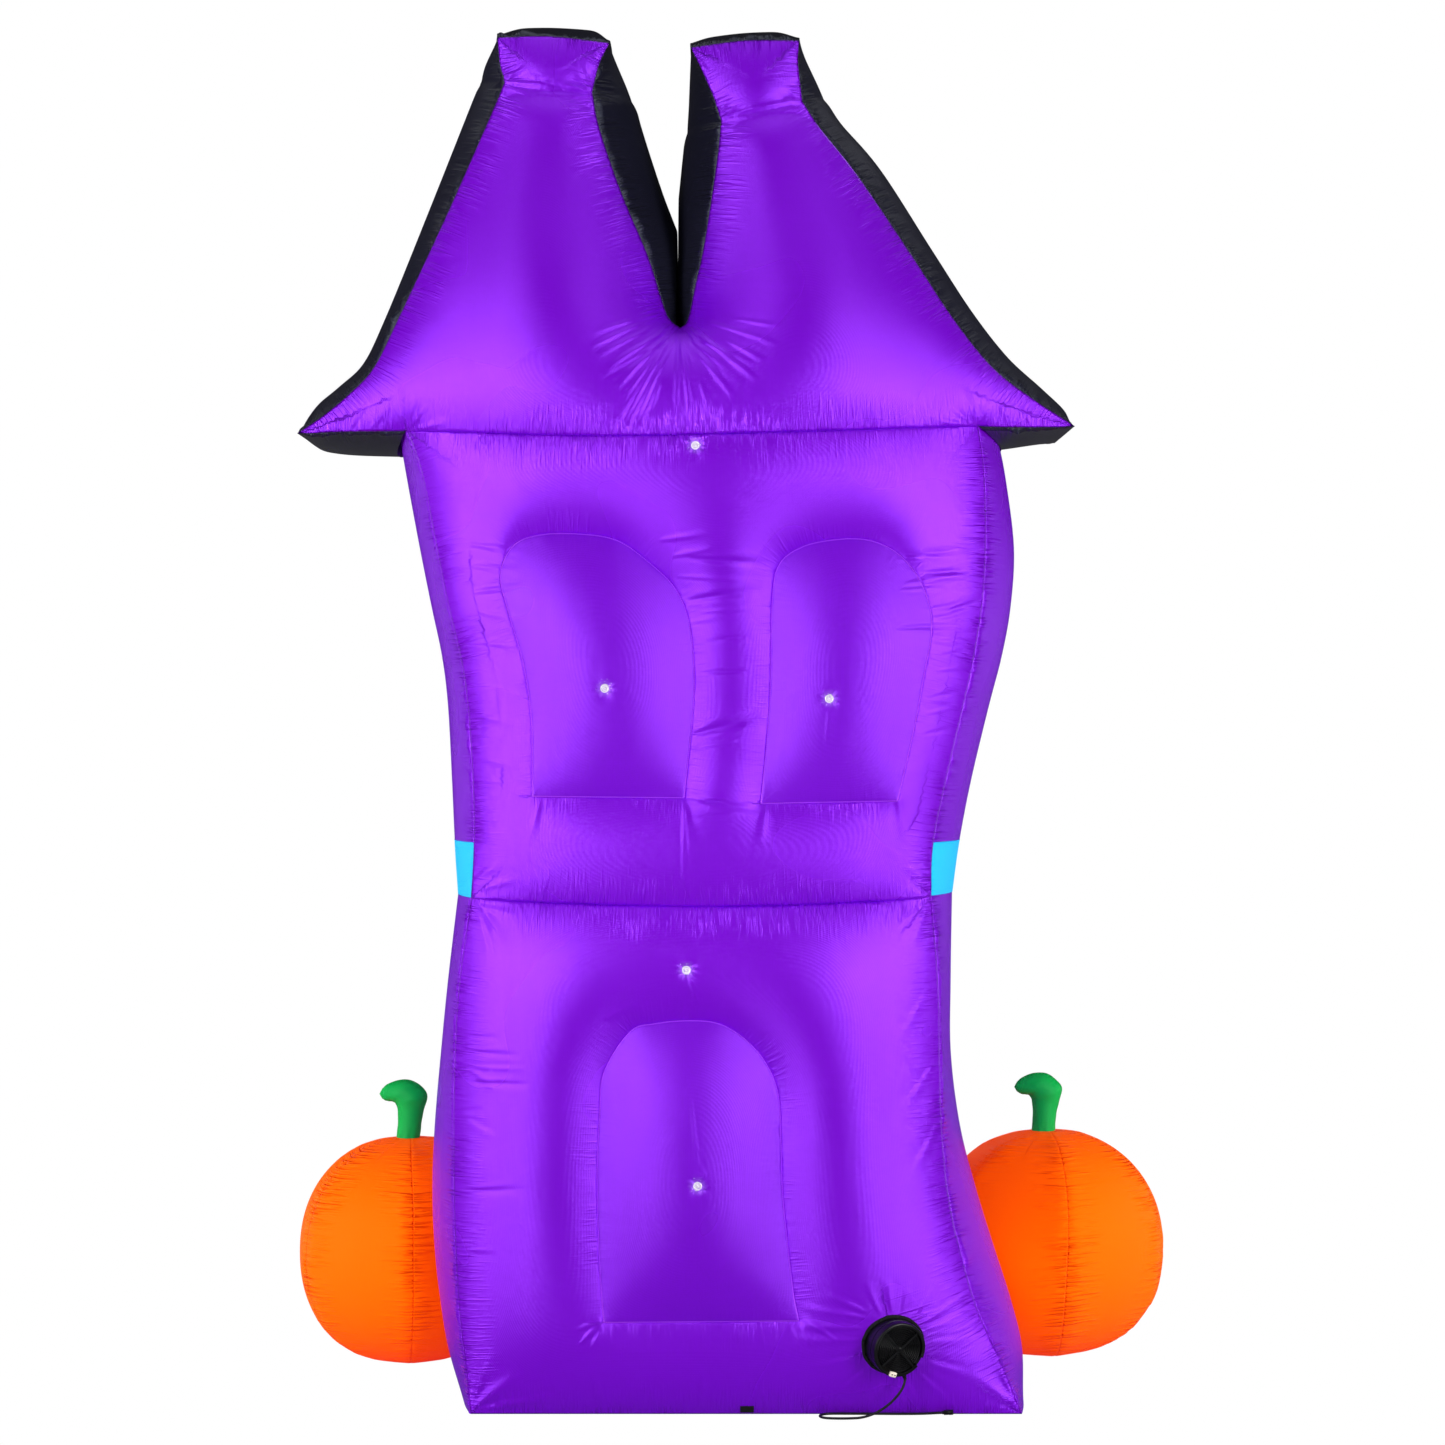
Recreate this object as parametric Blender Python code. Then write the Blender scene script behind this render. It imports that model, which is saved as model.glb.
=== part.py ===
"""Air-filled haunted house of sewn cloth, 2.8 m tall, with two pumpkins at its feet.

Metres, +Z up.  The origin is the middle of the flat base.  The rear face, with the
blower, looks along -Y, and +X is to the right as seen from behind.  Every house
panel is a filled solid: the rear and front panels swell from two upright seam planes,
and the gussets between those planes swell outward at the sides.
"""
import math
from collections import namedtuple

import bmesh
import bpy
import numpy as np
from mathutils import Matrix, Vector
from mathutils.geometry import delaunay_2d_cdt

# Driving dimensions
HALF_DEPTH = 0.20          # from the middle of the house to each seam plane
GAP = 0.0003               # between neighbouring pieces
SWELL_RATE = 3.8           # curvature of blown-up cloth, 1/m
REAR_GRID = 0.050          # point spacing on the rear panels
FRONT_GRID = 0.072         # point spacing on the front panels
EDGE_STEP = 0.055          # point spacing along seams
LINE_CLEARANCE = 0.62      # least distance of a loose point from a seam, in grid spacings
GUSSET_STEPS = 6           # strips across a gusset
FLAT_ANGLE = 0.0005        # faces that meet flatter than this are one face
ROOF_SEAM_SWELL = 0.105    # how far the roof seam stands out at its middle
STOREY_SEAM_SWELL = 0.055  # the same for the seam between the storeys
SEAM_FULLNESS = 0.65       # below 1 the level seams rise quickly from their ends
ARCH_SEAM_SWELL = 0.055    # the drawn-in seam round each window and the door
TOWER_TOUCH_X = -0.137     # where the two towers press on each other
TOWER_SLIT = 0.0012        # half the slit left between them
NOTCH_FROM = -0.334        # the notch between the towers lies from here
NOTCH_TO = -0.039          # to here
NECK_CREASE_DEPTH = 0.010
NECK_CREASE_WIDTH = 0.030
BAND_TOP = 1.130           # top edge of the side bands
EAVE_CLEARANCE = 0.002     # eave underside to the side of the body
EAVE_LEVEL = 1.96          # the eaves' undersides lie below this height

SeamPoint = namedtuple("SeamPoint", "x z swell")
BodyRow = namedtuple("BodyRow", "z left right left_swell right_swell")
StemRib = namedtuple("StemRib", "inner_x inner_z outer_x outer_z")

# The roof's outline in smooth runs, clockwise from the left end of the roof seam.
LEFT_EAVE = [(-0.672, 1.942, 0.034), (-0.800, 1.941, 0.030), (-0.854, 1.938, 0.024), (-0.887, 1.938, 0.0)]
LEFT_SLOPE = [(-0.887, 1.938, 0.0), (-0.836, 1.972, 0.055), (-0.792, 2.008, 0.053),
              (-0.737, 2.065, 0.047), (-0.688, 2.162, 0.048), (-0.585, 2.383, 0.061),
              (-0.488, 2.604, 0.070), (-0.478, 2.638, 0.066)]
LEFT_NECK = [(-0.478, 2.638, 0.066), (-0.486, 2.668, 0.053), (-0.491, 2.720, 0.030)]
LEFT_TOP = [(-0.491, 2.720, 0.055), (-0.385, 2.722, 0.056), (-0.270, 2.709, 0.062)]
LEFT_INNER_NECK = [(-0.270, 2.709, 0.030), (-0.290, 2.668, 0.056), (-0.304, 2.612, 0.082)]
NOTCH_LEFT = [(-0.304, 2.612, 0.082), (-0.290, 2.541, 0.086), (-0.247, 2.415, 0.084),
              (-0.194, 2.288, 0.078), (-0.164, 2.193, 0.064), (-0.150, 2.162, 0.040), (-0.130, 2.146, 0.0)]
NOTCH_RIGHT = [(-0.130, 2.146, 0.0), (-0.115, 2.162, 0.034), (-0.101, 2.225, 0.056),
               (-0.081, 2.320, 0.066), (-0.057, 2.478, 0.074), (-0.049, 2.555, 0.074)]
RIGHT_INNER_NECK = [(-0.049, 2.555, 0.076), (-0.065, 2.604, 0.062), (-0.093, 2.668, 0.036),
                    (-0.109, 2.700, 0.016)]
RIGHT_TOP = [(-0.109, 2.700, 0.051), (-0.002, 2.714, 0.052), (0.105, 2.714, 0.056)]
RIGHT_NECK = [(0.105, 2.714, 0.026), (0.103, 2.668, 0.043), (0.111, 2.594, 0.064)]
RIGHT_SLOPE = [(0.111, 2.594, 0.064), (0.146, 2.541, 0.063), (0.221, 2.446, 0.068),
               (0.328, 2.288, 0.063), (0.411, 2.162, 0.062), (0.488, 2.067, 0.060),
               (0.569, 2.004, 0.054), (0.618, 1.972, 0.042), (0.650, 1.952, 0.0)]
RIGHT_EAVE = [(0.650, 1.952, 0.0), (0.599, 1.950, 0.014), (0.520, 1.950, 0.030), (0.459, 1.952, 0.034)]
CORNER_SWELLS = {(-0.887, 1.938): (-0.016, 0.026), (-0.491, 2.720): (0.004, 0.049),
                 (-0.270, 2.709): (-0.010, 0.055), (-0.109, 2.700): (0.006, 0.050),
                 (0.105, 2.714): (-0.006, 0.049), (0.650, 1.952): (0.006, 0.028)}
ROOF_SEAM = [(-0.672, 1.942), (-0.522, 1.934), (-0.401, 1.928), (-0.272, 1.925), (-0.100, 1.927),
             (0.164, 1.936), (0.325, 1.944), (0.459, 1.952)]
NECK_CREASES = [[(-0.470, 2.628), (-0.415, 2.614), (-0.312, 2.611)],
                [(-0.036, 2.560), (0.045, 2.572), (0.104, 2.590)]]

# The body's two side seams, and how far the gusset swells beyond each.
LOWER_ROWS = [BodyRow(0.00, -0.544, 0.545, 0.027, 0.017),
              BodyRow(0.10, -0.555, 0.506, 0.048, 0.056),
              BodyRow(0.20, -0.566, 0.460, 0.054, 0.078),
              BodyRow(0.30, -0.573, 0.429, 0.058, 0.077),
              BodyRow(0.42, -0.577, 0.402, 0.059, 0.067),
              BodyRow(0.55, -0.578, 0.388, 0.053, 0.048),
              BodyRow(0.70, -0.576, 0.383, 0.042, 0.034),
              BodyRow(0.85, -0.567, 0.380, 0.036, 0.037),
              BodyRow(1.02, -0.543, 0.366, 0.040, 0.054)]
UPPER_ROWS = [BodyRow(1.02, -0.543, 0.366, 0.040, 0.054),
              BodyRow(1.12, -0.538, 0.369, 0.052, 0.065),
              BodyRow(1.25, -0.540, 0.395, 0.056, 0.064),
              BodyRow(1.40, -0.550, 0.430, 0.054, 0.065),
              BodyRow(1.50, -0.565, 0.451, 0.051, 0.070),
              BodyRow(1.60, -0.589, 0.467, 0.048, 0.072),
              BodyRow(1.72, -0.613, 0.474, 0.048, 0.072),
              BodyRow(1.86, -0.641, 0.471, 0.046, 0.058),
              BodyRow(1.95, -0.672, 0.459, 0.030, 0.052)]
STOREY_SEAM = [(-0.543, 1.020), (-0.437, 1.014), (-0.312, 1.010), (-0.113, 1.006), (0.022, 1.007),
               (0.188, 1.012), (0.312, 1.018), (0.366, 1.024)]

# Arched seams: each runs from its lower left corner over the crown to its lower right corner.
WINDOW_LEFT = [(-0.419, 1.221), (-0.421, 1.367), (-0.437, 1.480), (-0.465, 1.577), (-0.482, 1.655),
               (-0.456, 1.714), (-0.401, 1.735), (-0.320, 1.736), (-0.251, 1.723), (-0.192, 1.682),
               (-0.142, 1.634), (-0.115, 1.577), (-0.103, 1.496), (-0.103, 1.399), (-0.121, 1.218)]
WINDOW_RIGHT = [(0.028, 1.207), (0.039, 1.320), (0.047, 1.441), (0.050, 1.600), (0.063, 1.674),
                (0.107, 1.710), (0.172, 1.725), (0.237, 1.725), (0.292, 1.702), (0.333, 1.658),
                (0.358, 1.601), (0.364, 1.545), (0.350, 1.464), (0.329, 1.352), (0.297, 1.212)]
DOOR = [(-0.280, 0.190), (-0.288, 0.306), (-0.293, 0.472), (-0.288, 0.598), (-0.279, 0.682),
        (-0.228, 0.761), (-0.178, 0.777), (-0.112, 0.783), (-0.054, 0.777), (-0.004, 0.748),
        (0.038, 0.701), (0.063, 0.639), (0.069, 0.539), (0.073, 0.431), (0.092, 0.257), (0.104, 0.193)]

# Small round light lenses on the rear: place on the panel, seen from behind.
LENS_RADIUS = 0.0078
LENS_THICKNESS = 0.0030
LENS_GAP = 0.0005
LENS_SIDES = 12
LENS_PLACES = {"light_lens_roof_seam": (-0.099, 1.905), "light_lens_window_left": (-0.276, 1.433),
               "light_lens_window_right": (0.162, 1.413), "light_lens_over_door": (-0.117, 0.883),
               "light_lens_door": (-0.095, 0.464)}

# Blower, a drum sunk into the lower rear panel.
BLOWER_FACE = Vector((0.300, -0.290, 0.1425))
BLOWER_AXIS = Vector((0.355, -0.923, -0.155)).normalized()
BLOWER_RADIUS = 0.0546
BLOWER_LENGTH = 0.063
RIM_BEVEL = 0.002
POCKET_CLEARANCE = 0.0005
POCKET_REACH = 0.030
BLOWER_SIDES = 30
GRILLE_RADIUS = 0.0470
GRILLE_RECESS = 0.008
GRILLE_RINGS = 3
GRILLE_SIDES = 20
GRILLE_SETBACK = 0.001
RING_HEIGHT = 0.0015
SPOKE_WIDTH = 0.004
SPOKE_HEIGHT = 0.003
SPOKE_END = 0.003
SPOKE_ANGLES = (41.0, 131.0)
RIM_NOTCH_ANGLE = -31.0
RIM_NOTCH = (0.016, 0.018, 0.018)
PLUG_ANGLE = -107.0
PLUG_SIZE = (0.014, 0.010, 0.007)
PLUG_BEVEL = 0.0015
PLUG_REACH = BLOWER_RADIUS - 0.006

# Power cord: hangs from the drum, turns once on the ground and ends in its connector.
CORD_DIAMETER = 0.005
CORD_ANGLE = -66.0
CORD_DEPTH = 0.014
CORD_RUN_OUT = 0.012
CORD_STEP = 0.0125
CORD_ROUTE = [(0.306, -0.2635, 0.064), (0.287, -0.267, 0.040), (0.259, -0.268, 0.019),
              (0.229, -0.264, 0.0070), (0.200, -0.2575, 0.0033),
              (0.167, -0.2545, 0.0028), (0.1515, -0.248, 0.0028), (0.145, -0.2325, 0.0028),
              (0.1515, -0.217, 0.0028), (0.167, -0.2105, 0.0028), (0.195, -0.2100, 0.0028),
              (0.225, -0.2105, 0.0028), (0.262, -0.2110, 0.0028), (0.305, -0.2120, 0.0028),
              (0.348, -0.2140, 0.0036), (0.386, -0.2160, 0.0058)]
CONNECTOR_RADIUS = 0.0052
CONNECTOR_LENGTH = 0.022
CONNECTOR_TAPER = 0.004
CONNECTOR_SIDES = 12

# Webbing tab sewn to the foot of the rear panel.
TAB_SIZE = (0.027, 0.0028, 0.017)
TAB_PLACE = (0.002, 0.0125)
TAB_GAP = 0.0006
TAB_BEVEL = 0.0006

# Pumpkins
PUMPKIN_RADIUS = 0.2375
PUMPKIN_HALF_HEIGHT = 0.240
PUMPKIN_MIDDLE = 0.232
PUMPKIN_ROUNDNESS = 2.2
PUMPKIN_GORES = 6
GORE_STEPS = 5
PUMPKIN_ROWS = 13
GORE_DEPTH = 0.035
PUMPKIN_TOP_SPOT = 0.030
PUMPKIN_LEFT = (-0.716, 0.385)
PUMPKIN_RIGHT = (0.656, 0.403)
PUMPKIN_SEAM_ANGLE = -85.0
SEAT_SPAN = 0.07
SEAT_PATCH = math.radians(12.0)
SEAT_SOFTNESS = math.radians(24.0)
STEM_RIBS = [StemRib(-0.0240, 0.0000, 0.0240, 0.0000), StemRib(-0.0217, 0.0323, 0.0273, 0.0323),
             StemRib(-0.0228, 0.0624, 0.0327, 0.0603), StemRib(-0.0262, 0.0732, 0.0392, 0.0904),
             StemRib(-0.0308, 0.0769, 0.0263, 0.1098), StemRib(-0.0362, 0.0782, 0.0047, 0.1227),
             StemRib(-0.0426, 0.0790, -0.0211, 0.1227), StemRib(-0.0502, 0.0807, -0.0448, 0.1141),
             StemRib(-0.0571, 0.0850, -0.0566, 0.1044)]
STEM_TIP = (-0.0624, 0.0937)
STEM_SIDES = 12
STEM_FLATNESS = 0.85


# Scene and materials

def clear_scene():
    """Start from an empty scene."""
    for item in list(bpy.data.objects):
        bpy.data.objects.remove(item, do_unlink=True)


def plain_material(name, colour, roughness, metallic=0.0):
    """One Principled finish in a single colour."""
    finish = bpy.data.materials.new(name)
    finish.use_nodes = True
    shader = finish.node_tree.nodes["Principled BSDF"]
    shader.inputs["Base Color"].default_value = (*colour, 1.0)
    shader.inputs["Roughness"].default_value = roughness
    shader.inputs["Metallic"].default_value = metallic
    finish.diffuse_color = (*colour, 1.0)
    return finish


def purple_cloth():
    return plain_material("purple_cloth", (0.22, 0.01, 0.75), 0.42)


def deep_purple_cloth():
    return plain_material("deep_purple_cloth", (0.18, 0.01, 0.66), 0.45)


def black_cloth():
    return plain_material("black_cloth", (0.008, 0.009, 0.020), 0.45)


def blue_cloth():
    return plain_material("blue_cloth", (0.01, 0.48, 0.95), 0.45)


def orange_cloth():
    return plain_material("orange_cloth", (1.0, 0.16, 0.003), 0.45)


def green_cloth():
    return plain_material("green_cloth", (0.005, 0.30, 0.06), 0.5)


def clear_plastic():
    return plain_material("clear_plastic", (0.85, 0.85, 0.92), 0.25)


def black_plastic():
    return plain_material("black_plastic", (0.012, 0.012, 0.014), 0.4)


def cream_plastic():
    return plain_material("cream_plastic", (0.80, 0.74, 0.62), 0.4)


def cord_rubber():
    return plain_material("cord_rubber", (0.010, 0.010, 0.011), 0.5)


def black_webbing():
    return plain_material("black_webbing", (0.010, 0.010, 0.012), 0.8)


# Lines and outlines

def smooth_line(points, step):
    """Evenly spaced points, about one step apart, on a smooth curve through the given points."""
    knots = np.array(points, dtype=float)
    first = 2 * knots[0] - knots[1]
    last = 2 * knots[-1] - knots[-2]
    padded = np.vstack([first, knots, last])
    fine = []
    for index in range(1, len(padded) - 2):
        before, start, end, after = padded[index - 1:index + 3]
        for share in np.linspace(0.0, 1.0, 12, endpoint=False):
            square = share * share
            cube = square * share
            fine.append(0.5 * (2 * start + (end - before) * share
                               + (2 * before - 5 * start + 4 * end - after) * square
                               + (3 * start - before - 3 * end + after) * cube))
    fine.append(knots[-1])
    fine = np.array(fine)
    lengths = np.linalg.norm(np.diff(fine, axis=0), axis=1)
    travelled = np.concatenate([[0.0], np.cumsum(lengths)])
    count = max(1, round(travelled[-1] / step))
    marks = np.linspace(0.0, travelled[-1], count + 1)
    return np.column_stack([np.interp(marks, travelled, fine[:, axis]) for axis in range(fine.shape[1])])


def body_row(rows, height):
    """The body's side seams and gusset swells at one height."""
    heights = [row.z for row in rows]
    table = smooth_line([tuple(row) for row in rows], 0.02)
    clamped = min(max(height, heights[0]), heights[-1])
    values = [np.interp(clamped, table[:, 0], table[:, column]) for column in range(1, 5)]
    return BodyRow(height, *values)


def level_seam_swell(x, line, peak):
    """A level seam stands out most at its middle and meets the side seams at nothing."""
    left = line[0][0]
    right = line[-1][0]
    across = (2 * x - left - right) / (right - left)
    return peak * max(0.0, 1.0 - across * across) ** SEAM_FULLNESS


def inside(polygon, x, z):
    """True where the point lies inside the closed outline."""
    crossings = 0
    for (x0, z0), (x1, z1) in zip(polygon, np.roll(polygon, -1, axis=0)):
        if (z0 > z) != (z1 > z) and x < x0 + (z - z0) * (x1 - x0) / (z1 - z0):
            crossings += 1
    return crossings % 2 == 1


def arch_outline(points):
    """Closed outline of an arched seam with a nearly straight foot."""
    arch = smooth_line(points, EDGE_STEP)
    foot = smooth_line([points[-1], points[0]], EDGE_STEP)
    return np.vstack([arch[:-1], foot[:-1]])


def side_line(rows, low, high, column):
    """One side seam of the body, from a low to a high height."""
    count = max(2, round((high - low) / EDGE_STEP) + 1)
    return np.array([(body_row(rows, z)[column], z) for z in np.linspace(low, high, count)])


# Blown-up panels

def hexagonal_points(outline, lines, spacing):
    """Points of a triangular grid inside the outline that keep off every line."""
    low = outline.min(axis=0)
    high = outline.max(axis=0)
    kept = []
    row = 0
    z = low[1]
    while z < high[1]:
        x = low[0] + (0.5 * spacing if row % 2 else 0.0)
        while x < high[0]:
            near = min(np.min(np.hypot(line[:, 0] - x, line[:, 1] - z)) for line in lines)
            if near > LINE_CLEARANCE * spacing and inside(outline, x, z):
                kept.append((x, z))
            x += spacing
        z += spacing * math.sqrt(0.75)
        row += 1
    return kept


def triangulate(outline, closed_lines, open_lines, loose):
    """Triangles that fill the outline and have every line among their edges."""
    points = []
    edges = []
    for line, closed in ([(outline, True)] + [(line, True) for line in closed_lines]
                         + [(line, False) for line in open_lines]):
        start = len(points)
        points.extend(Vector(point) for point in line)
        edges.extend((start + k, start + k + 1) for k in range(len(line) - 1))
        if closed:
            edges.append((start + len(line) - 1, start))
    points.extend(Vector(point) for point in loose)
    found, _, faces, _, _, _ = delaunay_2d_cdt(points, edges, [], 1, 1e-6)
    flat = np.array([(point.x, point.y) for point in found])
    triangles = [tuple(face) for face in faces if len(face) == 3]
    middles = [flat[list(face)].mean(axis=0) for face in triangles]
    return flat, [face for face, middle in zip(triangles, middles) if inside(outline, *middle)]


def blown_heights(flat, triangles, held):
    """Height of a skin held along its seams and pressed out evenly everywhere else."""
    count = len(flat)
    stiffness = np.zeros((count, count))
    load = np.zeros(count)
    for face in triangles:
        corner = flat[list(face)]
        opposite = np.array([corner[2] - corner[1], corner[0] - corner[2], corner[1] - corner[0]])
        area = 0.5 * abs(opposite[1][0] * opposite[2][1] - opposite[1][1] * opposite[2][0])
        for a in range(3):
            load[face[a]] += SWELL_RATE * area / 3.0
            for b in range(3):
                stiffness[face[a], face[b]] += float(opposite[a] @ opposite[b]) / (4.0 * area)
    heights = np.zeros(count)
    fixed = np.array(sorted(held))
    heights[fixed] = [held[index] for index in fixed]
    free = np.setdiff1d(np.arange(count), fixed)
    pull = load[free] - stiffness[np.ix_(free, fixed)] @ heights[fixed]
    heights[free] = np.linalg.solve(stiffness[np.ix_(free, free)], pull)
    return heights


def line_distance(flat, line):
    """Distance of every point from an open line."""
    best = np.full(len(flat), 1e9)
    for start, end in zip(line[:-1], line[1:]):
        along = end - start
        share = np.clip(((flat - start) @ along) / (along @ along), 0.0, 1.0)
        best = np.minimum(best, np.linalg.norm(flat - start - share[:, None] * along, axis=1))
    return best


Panel = namedtuple("Panel", "flat triangles heights")


def seam_bridges(outline, swells, flat, triangles):
    """Middles of inner edges that would join two points of the seams lying in the seam plane."""
    flush = set()
    for index, point in enumerate(flat):
        edge = np.hypot(*(outline - point).T)
        if edge.min() < 1e-5 and swells[int(edge.argmin())] < 1e-6:
            flush.add(index)
    rim = {frozenset(edge) for edge in boundary_edges(triangles)}
    inner = {frozenset(pair) for face in triangles for pair in zip(face, face[1:] + face[:1])} - rim
    bridges = sorted(tuple(sorted(edge)) for edge in inner if edge <= flush)
    return [tuple(0.5 * (flat[start] + flat[end])) for start, end in bridges]


def blow_up(outline, swells, arches, creases, spacing):
    """A whole blown-up face, with its arched seams and creases pulled in."""
    open_lines = [smooth_line(crease, EDGE_STEP)[1:-1] for crease in creases]
    loose = hexagonal_points(outline, [outline] + arches + open_lines, spacing)
    flat, triangles = triangulate(outline, arches, open_lines, loose)
    bridges = seam_bridges(outline, swells, flat, triangles)
    while bridges:
        loose += bridges
        flat, triangles = triangulate(outline, arches, open_lines, loose)
        bridges = seam_bridges(outline, swells, flat, triangles)
    held = {}
    for index, point in enumerate(flat):
        edge = np.hypot(*(outline - point).T)
        if edge.min() < 1e-5:
            held[index] = swells[int(edge.argmin())]
        elif any(np.hypot(*(arch - point).T).min() < 1e-5 for arch in arches):
            held[index] = ARCH_SEAM_SWELL
    heights = blown_heights(flat, triangles, held)
    for crease in creases:
        near = line_distance(flat, np.array(crease))
        heights -= NECK_CREASE_DEPTH * np.exp(-(near / NECK_CREASE_WIDTH) ** 2)
    heights = np.maximum(heights, 0.0)
    heights[list(held)] = [held[index] for index in held]
    return Panel(flat, triangles, heights)


def boundary_edges(triangles):
    """Edges used by one triangle only, each in that triangle's direction."""
    seen = {}
    for face in triangles:
        for start, end in ((face[0], face[1]), (face[1], face[2]), (face[2], face[0])):
            if (end, start) in seen:
                del seen[(end, start)]
            else:
                seen[(start, end)] = True
    return list(seen)


def boundary_loops(triangles):
    """Closed chains of boundary points."""
    following = dict(boundary_edges(triangles))
    loops = []
    while following:
        start, current = next(iter(following.items()))
        loop = [start]
        del following[start]
        while current != start:
            loop.append(current)
            current = following.pop(current)
        loops.append(loop)
    return loops


def panel_solid(name, panel, triangles, side, place, finish):
    """Close one face of cloth against its flat seam plane as a filled solid."""
    loops = boundary_loops(triangles)
    plane = side * (HALF_DEPTH + GAP)
    mesh = bmesh.new()
    top = {}
    for index in sorted({corner for face in triangles for corner in face}):
        x, z = place(*panel.flat[index])
        top[index] = mesh.verts.new((x, plane + side * panel.heights[index], z))
    for face in triangles:
        mesh.faces.new([top[index] for index in face])
    foot = {}
    for index in (index for loop in loops for index in loop):
        flush = panel.heights[index] < 1e-6
        x, z = place(*panel.flat[index])
        foot[index] = top[index] if flush else mesh.verts.new((x, plane, z))
    for loop in loops:
        for start, end in zip(loop, loop[1:] + loop[:1]):
            ring = [top[end], top[start], foot[start], foot[end]]
            corners = list(dict.fromkeys(ring))
            if len(corners) > 2:
                mesh.faces.new(corners)
    close_back(mesh, panel, loops, foot)
    return finish_mesh(name, mesh, finish)


def close_back(mesh, panel, loops, foot):
    """Fill the flat back of a panel solid, leaving its arched openings free."""
    outlines = [panel.flat[loop] for loop in loops]
    outlines_by_size = sorted(range(len(loops)), key=lambda k: -np.ptp(outlines[k], axis=0).sum())
    outer = outlines[outlines_by_size[0]]
    holes = [outlines[k] for k in outlines_by_size[1:]]
    flat, triangles = triangulate(outer, holes, [], [])
    order = [index for loop in loops for index in loop]
    for face in triangles:
        middle = flat[list(face)].mean(axis=0)
        if any(inside(hole, *middle) for hole in holes):
            continue
        corners = []
        for corner in face:
            distance = np.hypot(*(panel.flat[order] - flat[corner]).T)
            corners.append(foot[order[int(distance.argmin())]])
        mesh.faces.new(corners)


def finish_mesh(name, mesh, finish):
    """Turn a finished bmesh into a named object with its faces looking out."""
    bmesh.ops.remove_doubles(mesh, verts=mesh.verts, dist=1e-6)
    bmesh.ops.dissolve_degenerate(mesh, edges=mesh.edges, dist=1e-6)
    bmesh.ops.dissolve_limit(mesh, angle_limit=FLAT_ANGLE, verts=mesh.verts, edges=mesh.edges)
    bmesh.ops.triangulate(mesh, faces=mesh.faces)
    bmesh.ops.recalc_face_normals(mesh, faces=mesh.faces)
    data = bpy.data.meshes.new(name)
    mesh.to_mesh(data)
    mesh.free()
    item = bpy.data.objects.new(name, data)
    data.materials.append(finish)
    bpy.context.scene.collection.objects.link(item)
    data.shade_smooth()
    data.set_sharp_from_angle(angle=math.radians(40))
    return item


# Outlines of the three tiers

def roof_rows():
    """The roof outline's seam points in one clockwise round, each with its gusset swell."""
    runs = [LEFT_EAVE, LEFT_SLOPE, LEFT_NECK, LEFT_TOP, LEFT_INNER_NECK, NOTCH_LEFT,
            NOTCH_RIGHT, RIGHT_INNER_NECK, RIGHT_TOP, RIGHT_NECK, RIGHT_SLOPE, RIGHT_EAVE]
    points = [SeamPoint(*row) for run in runs for row in smooth_line(run, EDGE_STEP)[:-1]]
    points.append(SeamPoint(*RIGHT_EAVE[-1]))
    return points


def roof_face():
    """Roof outline and the swell held along it."""
    edge = np.array([(point.x, point.z) for point in roof_rows()])
    seam = smooth_line(ROOF_SEAM, EDGE_STEP)[::-1]
    outline = np.vstack([edge, seam[1:-1]])
    swells = [0.0] * len(edge) + [level_seam_swell(x, ROOF_SEAM, ROOF_SEAM_SWELL) for x, _ in seam[1:-1]]
    return outline, swells


def upper_face():
    """Outline of the upper storey between the storey seam and the roof seam."""
    left = side_line(UPPER_ROWS, STOREY_SEAM[0][1], ROOF_SEAM[0][1], 1)
    right = side_line(UPPER_ROWS, STOREY_SEAM[-1][1], ROOF_SEAM[-1][1], 2)[::-1]
    left[-1] = ROOF_SEAM[0]
    right[0] = ROOF_SEAM[-1]
    top = smooth_line(ROOF_SEAM, EDGE_STEP)
    foot = smooth_line(STOREY_SEAM, EDGE_STEP)[::-1]
    outline = np.vstack([left[:-1], top[:-1], right[:-1], foot[:-1]])
    swells = ([0.0] * (len(left) - 1)
              + [level_seam_swell(x, ROOF_SEAM, ROOF_SEAM_SWELL) for x, _ in top[:-1]]
              + [0.0] * (len(right) - 1)
              + [level_seam_swell(x, STOREY_SEAM, STOREY_SEAM_SWELL) for x, _ in foot[:-1]])
    return outline, swells


def lower_face():
    """Outline of the lower storey, from the ground to the storey seam."""
    left = side_line(LOWER_ROWS, 0.0, STOREY_SEAM[0][1], 1)
    right = side_line(LOWER_ROWS, 0.0, STOREY_SEAM[-1][1], 2)[::-1]
    left[-1] = STOREY_SEAM[0]
    right[0] = STOREY_SEAM[-1]
    top = smooth_line(STOREY_SEAM, EDGE_STEP)
    foot = smooth_line([(right[-1][0], 0.0), (left[0][0], 0.0)], EDGE_STEP)
    outline = np.vstack([left[:-1], top[:-1], right[:-1], foot[:-1]])
    swells = ([0.0] * (len(left) - 1)
              + [level_seam_swell(x, STOREY_SEAM, STOREY_SEAM_SWELL) for x, _ in top[:-1]]
              + [0.0] * (len(right) - 1 + len(foot) - 1))
    return outline, swells


def split_panel(panel, arches):
    """Sort a face's triangles into the surround and each arched inset."""
    groups = [[] for _ in range(len(arches) + 1)]
    for face in panel.triangles:
        middle = panel.flat[list(face)].mean(axis=0)
        home = 0
        for number, arch in enumerate(arches, start=1):
            if inside(arch, *middle):
                home = number
        groups[home].append(face)
    return groups


def lifted(amount):
    """Placement that moves a panel up or down by a hair, for the gap at a level seam."""
    return lambda x, z: (x, z + amount)


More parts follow.
